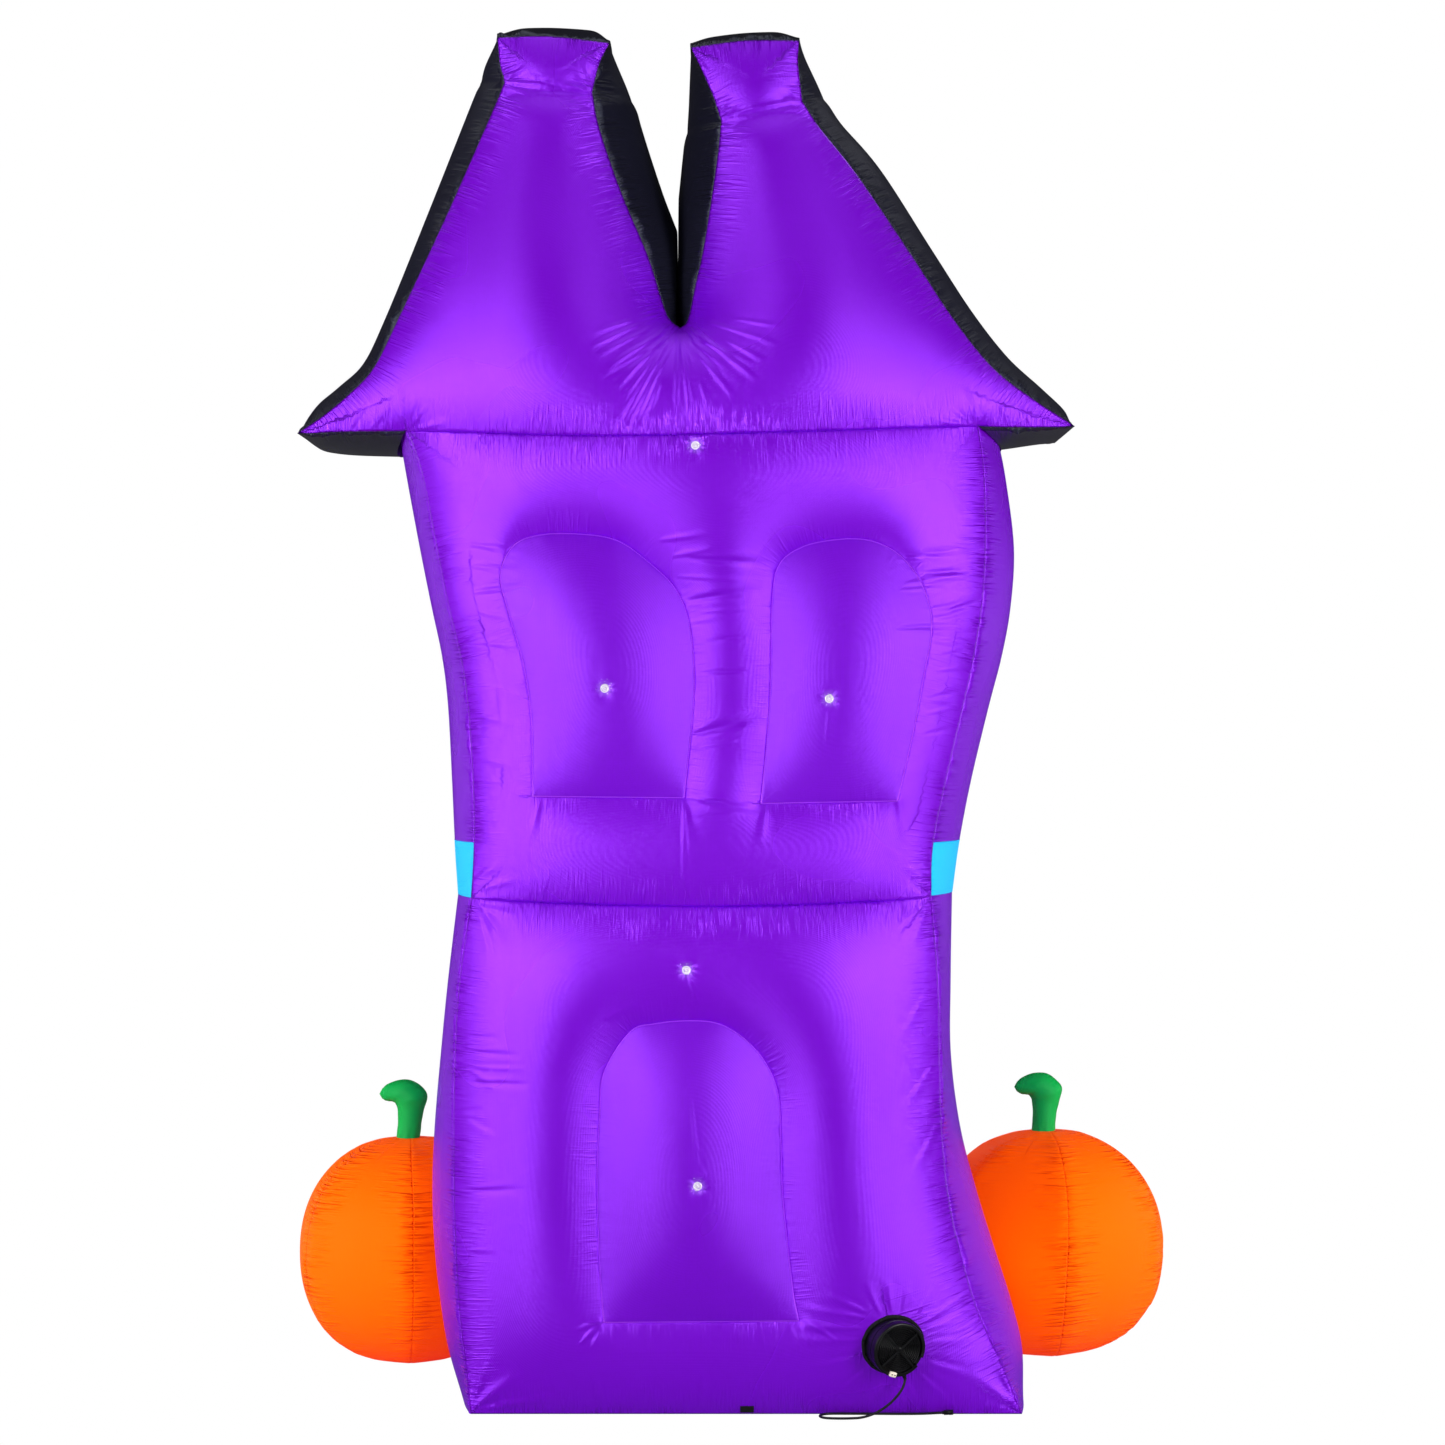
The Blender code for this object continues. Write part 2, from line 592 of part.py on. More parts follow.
def squeezed_between(low, high):
    """Placement that takes half a gap off a panel's foot and half off its top."""
    def place(x, z):
        share = min(max((z - low) / (high - low), 0.0), 1.0)
        return x, z + GAP * (0.5 - share)
    return place


def let_down(x, z):
    """Placement that takes half a gap off a panel's top and leaves its foot on the ground."""
    return x, z * (1.0 - 0.5 * GAP / STOREY_SEAM[3][1])


def shrunk_about(outline):
    """Placement that draws an inset a gap inside its seam."""
    centre = outline.mean(axis=0)
    reach = np.hypot(*(outline - centre).T).min()
    factor = 1.0 - 1.6 * GAP / reach
    return lambda x, z: tuple(centre + factor * (np.array((x, z)) - centre))


def house_faces(side, word, spacing, finishes):
    """All the rear or all the front panels of the house."""
    main, inset = finishes
    outline, swells = roof_face()
    roof = blow_up(outline, swells, [], NECK_CREASES, spacing)
    panel_solid(f"roof_{word}_panel", roof, roof.triangles, side, lifted(0.5 * GAP), main)

    arches = [arch_outline(WINDOW_LEFT), arch_outline(WINDOW_RIGHT)]
    outline, swells = upper_face()
    upper = blow_up(outline, swells, arches, [], spacing)
    around, left, right = split_panel(upper, arches)
    place = squeezed_between(STOREY_SEAM[3][1], ROOF_SEAM[3][1])
    panel_solid(f"upper_{word}_panel", upper, around, side, place, main)
    panel_solid(f"window_{word}_left", upper, left, side, shrunk_about(arches[0]), inset)
    panel_solid(f"window_{word}_right", upper, right, side, shrunk_about(arches[1]), inset)

    door = arch_outline(DOOR)
    outline, swells = lower_face()
    lower = blow_up(outline, swells, [door], [], spacing)
    around, doorway = split_panel(lower, [door])
    body = panel_solid(f"lower_{word}_panel", lower, around, side, let_down, main)
    panel_solid(f"door_{word}", lower, doorway, side, shrunk_about(door), inset)
    return {"upper": upper, "lower": lower}, body


# Gussets

def arc_share(step):
    """Share of a gusset's swell at one of its strips' edges, and that edge's y."""
    across = -1.0 + 2.0 * step / GUSSET_STEPS
    return 1.0 - across * across, across * HALF_DEPTH


def pressed(seam_x, z, x):
    """The two towers' inner walls swell only until they press on each other."""
    if not NOTCH_FROM < seam_x < NOTCH_TO or z < NOTCH_LEFT[-1][1]:
        return x
    if seam_x < TOWER_TOUCH_X:
        return min(x, TOWER_TOUCH_X - TOWER_SLIT)
    if seam_x > NOTCH_LEFT[-1][0]:
        return max(x, TOWER_TOUCH_X + TOWER_SLIT)
    return x


def gusset_solid(name, rows, finish):
    """A slab between the seam planes whose rim rows (x, z, out_x, out_z) swell outward."""
    mesh = bmesh.new()
    rim = []
    for x, z, out_x, out_z in rows:
        arc = []
        for step in range(GUSSET_STEPS + 1):
            share, y = arc_share(step)
            arc.append(mesh.verts.new((pressed(x, z, x + share * out_x), y, z + share * out_z)))
        rim.append(arc)
    for arc, following in zip(rim, rim[1:] + rim[:1]):
        for step in range(GUSSET_STEPS):
            mesh.faces.new([arc[step], arc[step + 1], following[step + 1], following[step]])
    fill_slab_face(mesh, rows, rim, 0)
    fill_slab_face(mesh, rows, rim, GUSSET_STEPS)
    return finish_mesh(name, mesh, finish)


def fill_slab_face(mesh, rows, rim, step):
    """Close one flat face of a gusset slab."""
    kept = []
    for index, row in enumerate(rows):
        previous = rows[kept[-1]] if kept else None
        if previous is None or math.hypot(row[0] - previous[0], row[1] - previous[1]) > 1e-5:
            kept.append(index)
    first = rows[0]
    last = rows[kept[-1]]
    if math.hypot(first[0] - last[0], first[1] - last[1]) < 1e-5:
        kept.pop()
    outline = np.array([(rows[index][0], rows[index][1]) for index in kept])
    flat, triangles = triangulate(outline, [], [], [])
    for face in triangles:
        corners = []
        for corner in face:
            distance = np.hypot(*(outline - flat[corner]).T)
            corners.append(rim[kept[int(distance.argmin())]][step])
        mesh.faces.new(corners)


def outward(before, here, after):
    """Unit direction away from a clockwise outline at one of its points."""
    along = np.array([after[0] - before[0], after[1] - before[1]])
    along = along / np.linalg.norm(along)
    return np.array([-along[1], along[0]])


def eave_end_rows(junction, side):
    """Where an eave's underside ends against the body: one row on its top, one row below."""
    body = upper_side_rows(side)
    outermost = [(z, x + out_x) for x, z, out_x, _ in body]
    level = (junction.x, junction.z, body[-1][2], 0.0)
    heights, reaches = zip(*outermost)
    low = junction.z - junction.swell
    reach = np.interp(low, heights, reaches) + side * EAVE_CLEARANCE - junction.x
    farther = side * max(side * reach, side * (body[-1][2] + side * EAVE_CLEARANCE))
    return level, (junction.x, junction.z, farther, -junction.swell)


def roof_gusset_rows():
    """Rim rows of the roof's black gusset."""
    points = roof_rows()
    rows = []
    for index in range(1, len(points) - 1):
        point = points[index]
        out = point.swell * outward(points[index - 1], point, points[index + 1])
        out_x, out_z = CORNER_SWELLS.get((round(point.x, 3), round(point.z, 3)), out)
        rows.append((point.x, point.z, out_x, out_z))
    left_level, left_low = eave_end_rows(points[0], -1)
    right_level, right_low = eave_end_rows(points[-1], 1)
    clear_left = left_low[0] + left_low[2]
    clear_right = right_low[0] + right_low[2]
    rows = [row for row in rows if row[1] > EAVE_LEVEL or not clear_left < row[0] < clear_right]
    seam = level_rows(ROOF_SEAM, 0.0)[::-1]
    every = [left_level, left_low] + rows + [right_low, right_level] + seam
    return [(x, z + 0.5 * GAP, out_x, out_z) for x, z, out_x, out_z in every]


def level_rows(seam, lift):
    """Rim rows with no swell along a nearly level seam, from left to right."""
    return [(x, z + lift, 0.0, 0.0) for x, z in smooth_line(seam, EDGE_STEP)]


def side_rows(table, low, high, side):
    """Gusset rim rows up one side of the body, between two (x, z) seam ends."""
    count = max(2, round((high[1] - low[1]) / EDGE_STEP) + 1)
    rows = []
    for z in np.linspace(low[1], high[1], count):
        row = body_row(table, z)
        x = row.left if side < 0 else row.right
        swell = row.left_swell if side < 0 else row.right_swell
        rows.append((x, z, side * swell, 0.0))
    rows[0] = (low[0], *rows[0][1:])
    rows[-1] = (high[0], *rows[-1][1:])
    return rows


def seam_end(seam, side, lift):
    """One end of a level seam, lifted by a hair."""
    x, z = seam[0 if side < 0 else -1]
    return x, z + lift


def band_top_end(side):
    """Where the top edge of a side band meets the seam."""
    row = body_row(UPPER_ROWS, BAND_TOP)
    return (row.left if side < 0 else row.right), BAND_TOP


def upper_side_rows(side):
    """Rim rows of the upper gusset above its side band."""
    x, z = band_top_end(side)
    return side_rows(UPPER_ROWS, (x, z + GAP), seam_end(ROOF_SEAM, side, -0.5 * GAP), side)


def upper_gusset_rows():
    """Rim rows of the upper storey, flat where the side bands lie on it."""
    sides = {}
    for side in (-1, 1):
        above_band = upper_side_rows(side)
        covered = side_rows(UPPER_ROWS, seam_end(STOREY_SEAM, side, 0.5 * GAP), above_band[0][:2], side)
        behind_band = [(x, z, 0.0, 0.0) for x, z, _, _ in covered]
        sides[side] = behind_band + above_band
    top = level_rows(ROOF_SEAM, -0.5 * GAP)
    foot = level_rows(STOREY_SEAM, 0.5 * GAP)[1:-1]
    return sides[-1] + top + sides[1][::-1] + foot[::-1]


def lower_gusset_rows():
    """Rim rows of the lower storey, down to its flat base."""
    base = [(LOWER_ROWS[0].left, 0.0), (LOWER_ROWS[0].right, 0.0)]
    left = side_rows(LOWER_ROWS, base[0], seam_end(STOREY_SEAM, -1, -0.5 * GAP), -1)
    right = side_rows(LOWER_ROWS, base[1], seam_end(STOREY_SEAM, 1, -0.5 * GAP), 1)
    return left + level_rows(STOREY_SEAM, -0.5 * GAP) + right[::-1] + level_rows(base, 0.0)[::-1]


def side_band(name, side, finish):
    """The band piece of a side gusset: its swelling part, closed at the seam plane."""
    rows = side_rows(UPPER_ROWS, seam_end(STOREY_SEAM, side, 0.5 * GAP), band_top_end(side), side)
    mesh = bmesh.new()
    skins = []
    for x, z, out_x, _ in rows:
        outer = []
        for step in range(GUSSET_STEPS + 1):
            share, y = arc_share(step)
            outer.append(mesh.verts.new((x + side * GAP + share * out_x, y, z)))
        skins.append(outer)
    for skin, following in zip(skins[:-1], skins[1:]):
        for step in range(GUSSET_STEPS):
            mesh.faces.new([skin[step], skin[step + 1], following[step + 1], following[step]])
        mesh.faces.new([skin[0], following[0], following[-1], skin[-1]])
    mesh.faces.new(skins[0])
    mesh.faces.new(skins[-1])
    bmesh.ops.triangulate(mesh, faces=mesh.faces)
    return finish_mesh(name, mesh, finish)


# Turned and boxed pieces

def turned(name, profile, sides, finish):
    """A solid turned about Z from (radius, height) pairs that start and end on the axis."""
    mesh = bmesh.new()
    rings = []
    for radius, height in profile:
        if radius < 1e-9:
            rings.append([mesh.verts.new((0.0, 0.0, height))] * sides)
            continue
        angles = [2 * math.pi * (k + 0.5) / sides for k in range(sides)]
        rings.append([mesh.verts.new((radius * math.cos(angle), radius * math.sin(angle), height))
                      for angle in angles])
    for ring, following in zip(rings[:-1], rings[1:]):
        for k in range(sides):
            corners = [ring[k], ring[(k + 1) % sides], following[(k + 1) % sides], following[k]]
            corners = list(dict.fromkeys(corners))
            if len(corners) > 2:
                mesh.faces.new(corners)
    return finish_mesh(name, mesh, finish)


def box(name, size, finish, bevel=0.0):
    """A box about its own middle, with rounded edges where a bevel is given."""
    mesh = bmesh.new()
    bmesh.ops.create_cube(mesh, size=1.0)
    bmesh.ops.scale(mesh, vec=size, verts=mesh.verts)
    if bevel:
        bmesh.ops.bevel(mesh, geom=mesh.edges, offset=bevel, segments=1, affect="EDGES", profile=0.5)
    return finish_mesh(name, mesh, finish)


def combine(target, tool, operation):
    """Cut or join a helper solid into a piece, then put the helper away as a wire guide."""
    step = target.modifiers.new(operation.lower(), "BOOLEAN")
    step.object = tool
    step.operation = operation
    step.solver = "EXACT"
    tool.hide_render = True
    tool.display_type = "WIRE"


def surface_point(panel, side, x, z):
    """Point and outward direction of a blown-up face at (x, z)."""
    for face in panel.triangles:
        corner = panel.flat[list(face)]
        if inside(corner, x, z):
            points = [Vector((px, side * (HALF_DEPTH + GAP + height), pz))
                      for (px, pz), height in zip(corner, panel.heights[list(face)])]
            normal = (points[1] - points[0]).cross(points[2] - points[0]).normalized()
            if normal.y * side < 0:
                normal = -normal
            drop = normal.x * (x - points[0].x) + normal.z * (z - points[0].z)
            return Vector((x, points[0].y - drop / normal.y, z)), normal
    raise ValueError("the place is off the panel")


def standing_on(point, axis, up=Vector((0.0, 0.0, 1.0))):
    """Placement whose Z is the given axis and whose Y is as near upright as it can be."""
    z_axis = axis.normalized()
    x_axis = up.cross(z_axis).normalized()
    y_axis = z_axis.cross(x_axis)
    turn = Matrix((x_axis, y_axis, z_axis)).transposed().to_4x4()
    return Matrix.Translation(point) @ turn


def light_lens(name, panel, place, finish):
    """Low clear dome over one of the lamps, seated on the cloth."""
    profile = [(0.0, 0.0), (LENS_RADIUS, 0.0), (LENS_RADIUS, 0.45 * LENS_THICKNESS),
               (0.6 * LENS_RADIUS, 0.9 * LENS_THICKNESS), (0.0, LENS_THICKNESS)]
    lens = turned(name, profile, LENS_SIDES, finish)
    point, normal = surface_point(panel, -1, *place)
    lens.matrix_world = standing_on(point + LENS_GAP * normal, normal)
    return lens


# Blower, cord and tab

def blower_frame():
    """Placement on the middle of the blower's face, looking outward."""
    return standing_on(BLOWER_FACE, BLOWER_AXIS)


def rim_point(angle, radius, depth):
    """Place on the blower at an angle, counted from its right side, seen from behind."""
    turn = math.radians(angle)
    return blower_frame() @ Vector((radius * math.cos(turn), radius * math.sin(turn), -depth))


def blower_housing(panel_object, finish):
    """The drum, in a pocket of the lower rear panel, with a bite out of its rim."""
    drum = turned("blower_housing", [
        (0.0, -BLOWER_LENGTH), (BLOWER_RADIUS - RIM_BEVEL, -BLOWER_LENGTH),
        (BLOWER_RADIUS, -BLOWER_LENGTH + RIM_BEVEL), (BLOWER_RADIUS, -RIM_BEVEL),
        (BLOWER_RADIUS - RIM_BEVEL, 0.0), (GRILLE_RADIUS + GAP, 0.0),
        (GRILLE_RADIUS + GAP, -GRILLE_RECESS), (0.0, -GRILLE_RECESS)], BLOWER_SIDES, finish)
    drum.matrix_world = blower_frame()
    wall = BLOWER_RADIUS + POCKET_CLEARANCE
    depth = BLOWER_LENGTH + POCKET_CLEARANCE
    pocket = turned("pocket_cutter", [(0.0, -depth), (wall, -depth), (wall, POCKET_REACH), (0.0, POCKET_REACH)],
                    BLOWER_SIDES, finish)
    pocket.matrix_world = blower_frame()
    combine(panel_object, pocket, "DIFFERENCE")
    bite = box("rim_cutter", RIM_NOTCH, finish)
    bite.matrix_world = (Matrix.Translation(rim_point(RIM_NOTCH_ANGLE, BLOWER_RADIUS, 0.0))
                         @ blower_frame().to_3x3().to_4x4()
                         @ Matrix.Rotation(math.radians(RIM_NOTCH_ANGLE), 4, "Z"))
    combine(drum, bite, "DIFFERENCE")
    return drum


def blower_grille(finish):
    """Intake disc with raised rings and two crossed spokes."""
    pitch = GRILLE_RADIUS / (GRILLE_RINGS + 0.5)
    low = -GRILLE_RECESS + GAP
    face = -RING_HEIGHT - GRILLE_SETBACK
    profile = [(0.0, low), (GRILLE_RADIUS, low), (GRILLE_RADIUS, face + RING_HEIGHT)]
    for ring in range(GRILLE_RINGS, 0, -1):
        profile.append((ring * pitch + 0.30 * pitch, face + RING_HEIGHT))
        profile.append((ring * pitch + 0.20 * pitch, face))
        profile.append((ring * pitch - 0.20 * pitch, face))
        profile.append((ring * pitch - 0.30 * pitch, face + RING_HEIGHT))
    profile.append((0.0, face + RING_HEIGHT))
    grille = turned("blower_grille", profile, GRILLE_SIDES, finish)
    grille.matrix_world = blower_frame()
    for number, angle in enumerate(SPOKE_ANGLES):
        length = 2 * (GRILLE_RADIUS - SPOKE_END)
        spoke = box(f"spoke_guide_{number}", (length, SPOKE_WIDTH, SPOKE_HEIGHT), finish)
        spoke.matrix_world = (blower_frame() @ Matrix.Rotation(math.radians(angle), 4, "Z")
                              @ Matrix.Translation((0.0, 0.0, face + 0.3 * SPOKE_HEIGHT)))
        combine(grille, spoke, "UNION")
    return grille


def blower_plug(finish):
    """Small socket cap on the lower edge of the rim."""
    plug = box("blower_plug", PLUG_SIZE, finish, bevel=PLUG_BEVEL)
    place = rim_point(PLUG_ANGLE, PLUG_REACH, -0.5 * PLUG_SIZE[2] - GAP)
    plug.matrix_world = (Matrix.Translation(place) @ blower_frame().to_3x3().to_4x4()
                         @ Matrix.Rotation(math.radians(PLUG_ANGLE + 90.0), 4, "Z"))
    return plug


def cord_points():
    """The cord's whole route, from the drum's wall to its connector."""
    facet = 360.0 / BLOWER_SIDES
    angle = facet * round(CORD_ANGLE / facet)
    wall = BLOWER_RADIUS * math.cos(math.pi / BLOWER_SIDES)
    start = [tuple(rim_point(angle, wall + GAP + reach, CORD_DEPTH)) for reach in (0.0, CORD_RUN_OUT)]
    return smooth_line(start + CORD_ROUTE, CORD_STEP)


def power_cord(finish):
    """Round cord as a tube along its route."""
    points = cord_points()
    data = bpy.data.curves.new("power_cord", "CURVE")
    data.dimensions = "3D"
    data.bevel_depth = 0.5 * CORD_DIAMETER
    data.bevel_resolution = 2
    data.use_fill_caps = True
    spline = data.splines.new("POLY")
    spline.points.add(len(points) - 1)
    for knot, point in zip(spline.points, points):
        knot.co = (*point, 1.0)
    cord = bpy.data.objects.new("power_cord", data)
    data.materials.append(finish)
    bpy.context.scene.collection.objects.link(cord)
    return cord


def cord_connector(finish):
    """Barrel connector on the cord's end, lying on the ground."""
    half = 0.5 * CONNECTOR_LENGTH
    barrel = turned("cord_connector", [
        (0.0, -half), (0.6 * CONNECTOR_RADIUS, -half), (CONNECTOR_RADIUS, -half + CONNECTOR_TAPER),
        (CONNECTOR_RADIUS, half), (0.0, half)], CONNECTOR_SIDES, finish)
    points = cord_points()
    end = Vector(points[-1])
    along = (end - Vector(points[-2])).normalized()
    barrel.matrix_world = standing_on(end + (half + GAP) * along, along)
    return barrel


def stake_tab(panel, finish):
    """Folded webbing tab, pressed flat against the foot of the rear panel."""
    tab = box("stake_tab", (TAB_SIZE[0], TAB_SIZE[2], TAB_SIZE[1]), finish, bevel=TAB_BEVEL)
    point, normal = surface_point(panel, -1, *TAB_PLACE)
    tab.matrix_world = standing_on(point + (TAB_GAP + 0.5 * TAB_SIZE[1]) * normal, normal)
    return tab


# Pumpkins

def seat_direction(centre, side):
    """Nearest place of the house's front corner seam, as a direction and a distance."""
    middle = Vector((*centre, PUMPKIN_MIDDLE))
    corners = []
    for z in np.linspace(0.05, 0.40, 36):
        row = body_row(LOWER_ROWS, z)
        corners.append(Vector((row.left if side < 0 else row.right, HALF_DEPTH, z)))
    nearest = min(corners, key=lambda corner: (corner - middle).length)
    toward = (nearest - middle).normalized()
    close = [corner for corner in corners if (corner - nearest).length < SEAT_SPAN]
    return toward, min((corner - middle).dot(toward) for corner in close) - GAP


def pumpkin_top_share():
    """Height of the flat top spot, as a share of the half height."""
    return (1.0 - (PUMPKIN_TOP_SPOT / PUMPKIN_RADIUS) ** PUMPKIN_ROUNDNESS) ** (1.0 / PUMPKIN_ROUNDNESS)


def pumpkin(name, centre, side, finish):
    """Gored pumpkin, flat under itself, drawn out to the seam that it is sewn to."""
    toward, reach = seat_direction(centre, side)
    around = PUMPKIN_GORES * GORE_STEPS
    mesh = bmesh.new()
    rings = []
    lowest = -PUMPKIN_MIDDLE / PUMPKIN_HALF_HEIGHT
    highest = pumpkin_top_share()
    for tilt in np.linspace(math.asin(lowest), math.asin(highest), PUMPKIN_ROWS):
        rise = math.sin(tilt)
        spread = PUMPKIN_RADIUS * (1.0 - abs(rise) ** PUMPKIN_ROUNDNESS) ** (1.0 / PUMPKIN_ROUNDNESS)
        ring = []
        for k in range(around):
            turn = 2 * math.pi * k / around + math.radians(PUMPKIN_SEAM_ANGLE)
            draw_in = 1.0 - GORE_DEPTH * (1.0 - abs(math.sin(math.pi * k / GORE_STEPS)))
            offset = Vector((draw_in * spread * math.cos(turn), draw_in * spread * math.sin(turn),
                             PUMPKIN_HALF_HEIGHT * rise))
            past_patch = max(0.0, offset.angle(toward) - SEAT_PATCH) / SEAT_SOFTNESS
            short = reach - offset.dot(toward)
            offset += min(short, short * math.exp(-past_patch * past_patch)) * toward
            z = max(0.0, min(PUMPKIN_MIDDLE + offset.z, PUMPKIN_MIDDLE + PUMPKIN_HALF_HEIGHT * highest))
            ring.append(mesh.verts.new((centre[0] + offset.x, centre[1] + offset.y, z)))
        rings.append(ring)
    for vertex in rings[0]:
        vertex.co.z = 0.0
    for ring, following in zip(rings[:-1], rings[1:]):
        for k in range(around):
            mesh.faces.new([ring[k], ring[(k + 1) % around], following[(k + 1) % around], following[k]])
    mesh.faces.new(rings[0])
    mesh.faces.new(rings[-1])
    bmesh.ops.triangulate(mesh, faces=mesh.faces)
    return finish_mesh(name, mesh, finish)


def pumpkin_stem(name, centre, finish):
    """Hooked stem: oval ribs from the pumpkin's top, round the bend to a blunt tip."""
    top = PUMPKIN_MIDDLE + PUMPKIN_HALF_HEIGHT * pumpkin_top_share()
    mesh = bmesh.new()
    rings = []
    for rib in STEM_RIBS:
        inner = Vector((rib.inner_x, 0.0, rib.inner_z))
        outer = Vector((rib.outer_x, 0.0, rib.outer_z))
        middle = 0.5 * (inner + outer)
        half = 0.5 * (outer - inner)
        depth = Vector((0.0, STEM_FLATNESS * half.length, 0.0))
        ring = []
        for k in range(STEM_SIDES):
            turn = 2 * math.pi * k / STEM_SIDES
            ring.append(mesh.verts.new(middle + math.cos(turn) * half + math.sin(turn) * depth))
        rings.append(ring)
    tip = mesh.verts.new((STEM_TIP[0], 0.0, STEM_TIP[1]))
    for ring, following in zip(rings[:-1], rings[1:]):
        for k in range(STEM_SIDES):
            after = (k + 1) % STEM_SIDES
            mesh.faces.new([ring[k], ring[after], following[after], following[k]])
    for k in range(STEM_SIDES):
        mesh.faces.new([rings[-1][k], rings[-1][(k + 1) % STEM_SIDES], tip])
    mesh.faces.new(rings[0])
    bmesh.ops.triangulate(mesh, faces=mesh.faces)
    stem = finish_mesh(name, mesh, finish)
    stem.location = (centre[0], centre[1], top + GAP)
    return stem


def build():
    """Make every piece of the house."""
    clear_scene()
    purple = purple_cloth()
    deep_purple = deep_purple_cloth()
    black = black_cloth()
    orange = orange_cloth()
    green = green_cloth()
    plastic = black_plastic()
    blue = blue_cloth()
    rear, lower_rear = house_faces(-1, "rear", REAR_GRID, (purple, deep_purple))
    house_faces(1, "front", FRONT_GRID, (purple, deep_purple))
    gusset_solid("roof_gusset", roof_gusset_rows(), black)
    gusset_solid("upper_gusset", upper_gusset_rows(), purple)
    gusset_solid("lower_gusset", lower_gusset_rows(), purple)
    side_band("side_band_left", -1, blue)
    side_band("side_band_right", 1, blue)
    clear = clear_plastic()
    for name, place in LENS_PLACES.items():
        storey = rear["upper"] if place[1] > STOREY_SEAM[3][1] else rear["lower"]
        light_lens(name, storey, place, clear)
    blower_housing(lower_rear, plastic)
    blower_grille(plastic)
    blower_plug(cream_plastic())
    power_cord(cord_rubber())
    cord_connector(plastic)
    stake_tab(rear["lower"], black_webbing())
    for word, centre, side in (("left", PUMPKIN_LEFT, -1), ("right", PUMPKIN_RIGHT, 1)):
        pumpkin(f"pumpkin_{word}", centre, side, orange)
        pumpkin_stem(f"pumpkin_stem_{word}", centre, green)


build()
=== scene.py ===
# %% [markdown]
# # An air-filled cloth house
# The real object is thin satin-like polyester, cut flat, sewn along its seams and held out by a
# blower. Air pressure makes every panel swell, and every seam gathers the cloth into puckers.
# This lesson builds each panel as a skin that is held along its seams and pressed out evenly,
# and then works in the folds, the stitching and the small hard parts.

# %% Load the frame
import math
from collections import namedtuple

import bmesh
import bpy
import numpy as np
from mathutils import Matrix, Vector
from mathutils.geometry import delaunay_2d_cdt
from mathutils.kdtree import KDTree


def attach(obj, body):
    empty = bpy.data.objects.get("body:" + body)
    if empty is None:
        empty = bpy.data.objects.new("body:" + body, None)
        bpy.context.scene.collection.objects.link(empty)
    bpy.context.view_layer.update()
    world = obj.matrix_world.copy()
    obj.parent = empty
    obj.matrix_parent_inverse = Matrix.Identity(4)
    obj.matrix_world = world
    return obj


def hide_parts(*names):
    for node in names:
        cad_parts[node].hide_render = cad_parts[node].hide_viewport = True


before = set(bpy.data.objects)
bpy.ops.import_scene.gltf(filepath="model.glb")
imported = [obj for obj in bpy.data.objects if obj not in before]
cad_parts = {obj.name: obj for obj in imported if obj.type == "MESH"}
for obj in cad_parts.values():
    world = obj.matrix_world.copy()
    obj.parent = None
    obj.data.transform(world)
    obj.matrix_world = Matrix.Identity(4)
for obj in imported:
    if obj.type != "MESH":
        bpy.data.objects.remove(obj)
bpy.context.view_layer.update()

# %% [markdown]
# ## Camera
# The picture was taken straight on from far away, so a long lens at the middle of the height
# keeps the upright lines upright. The focal length is worked out from a width in pixels.

# %% Camera
CAMERA_PLACE = Vector((-0.0464, -6.8, 1.3664))
IMAGE_SIZE = 1445
FOCAL_PIXELS = 3340.0
SENSOR = 36.0


def placed(name, data):
    """A new object in the scene."""
    made = bpy.data.objects.new(name, data)
    bpy.context.scene.collection.objects.link(made)
    return made


camera = placed("camera", bpy.data.cameras.new("camera"))
camera.data.sensor_width = SENSOR
camera.data.lens = FOCAL_PIXELS / IMAGE_SIZE * SENSOR
camera.location = CAMERA_PLACE
camera.rotation_euler = (math.radians(90.0), 0.0, 0.0)
bpy.context.scene.camera = camera
print("lens", round(camera.data.lens, 1), "mm")


def seen_at(across, down, y):
    """The place (x, z) at depth y that the camera sees at a pixel of its square image."""
    reach = (y - CAMERA_PLACE.y) / FOCAL_PIXELS
    return (CAMERA_PLACE.x + (across - 0.5 * IMAGE_SIZE) * reach,
            CAMERA_PLACE.z - (down - 0.5 * IMAGE_SIZE) * reach)


# %% [markdown]
# ## The cord's line
# A low-voltage lead hangs out of the blower's rim, drops to the ground, turns back once and ends in a barrel
# connector. A real lead keeps its length and bends only gently, so it is one smooth curve through a few
# chosen places.

# %% Cord line
def smooth_line(points, step):
    """Evenly spaced points, about one step apart, on a smooth curve through the given points."""
    knots = np.array(points, dtype=float)
    padded = np.vstack([2 * knots[0] - knots[1], knots, 2 * knots[-1] - knots[-2]])
    fine = []
    for before, start, end, after in zip(padded, padded[1:], padded[2:], padded[3:]):
        for share in np.linspace(0.0, 1.0, 12, endpoint=False):
            square = share * share
            cube = square * share
            fine.append(0.5 * (2 * start + (end - before) * share
                               + (2 * before - 5 * start + 4 * end - after) * square
                               + (3 * start - before - 3 * end + after) * cube))
    fine = np.array(fine + [knots[-1]])
    travelled = np.concatenate([[0.0], np.cumsum(np.linalg.norm(np.diff(fine, axis=0), axis=1))])
    marks = np.linspace(0.0, travelled[-1], max(1, round(travelled[-1] / step)) + 1)
    return np.column_stack([np.interp(marks, travelled, column) for column in fine.T])


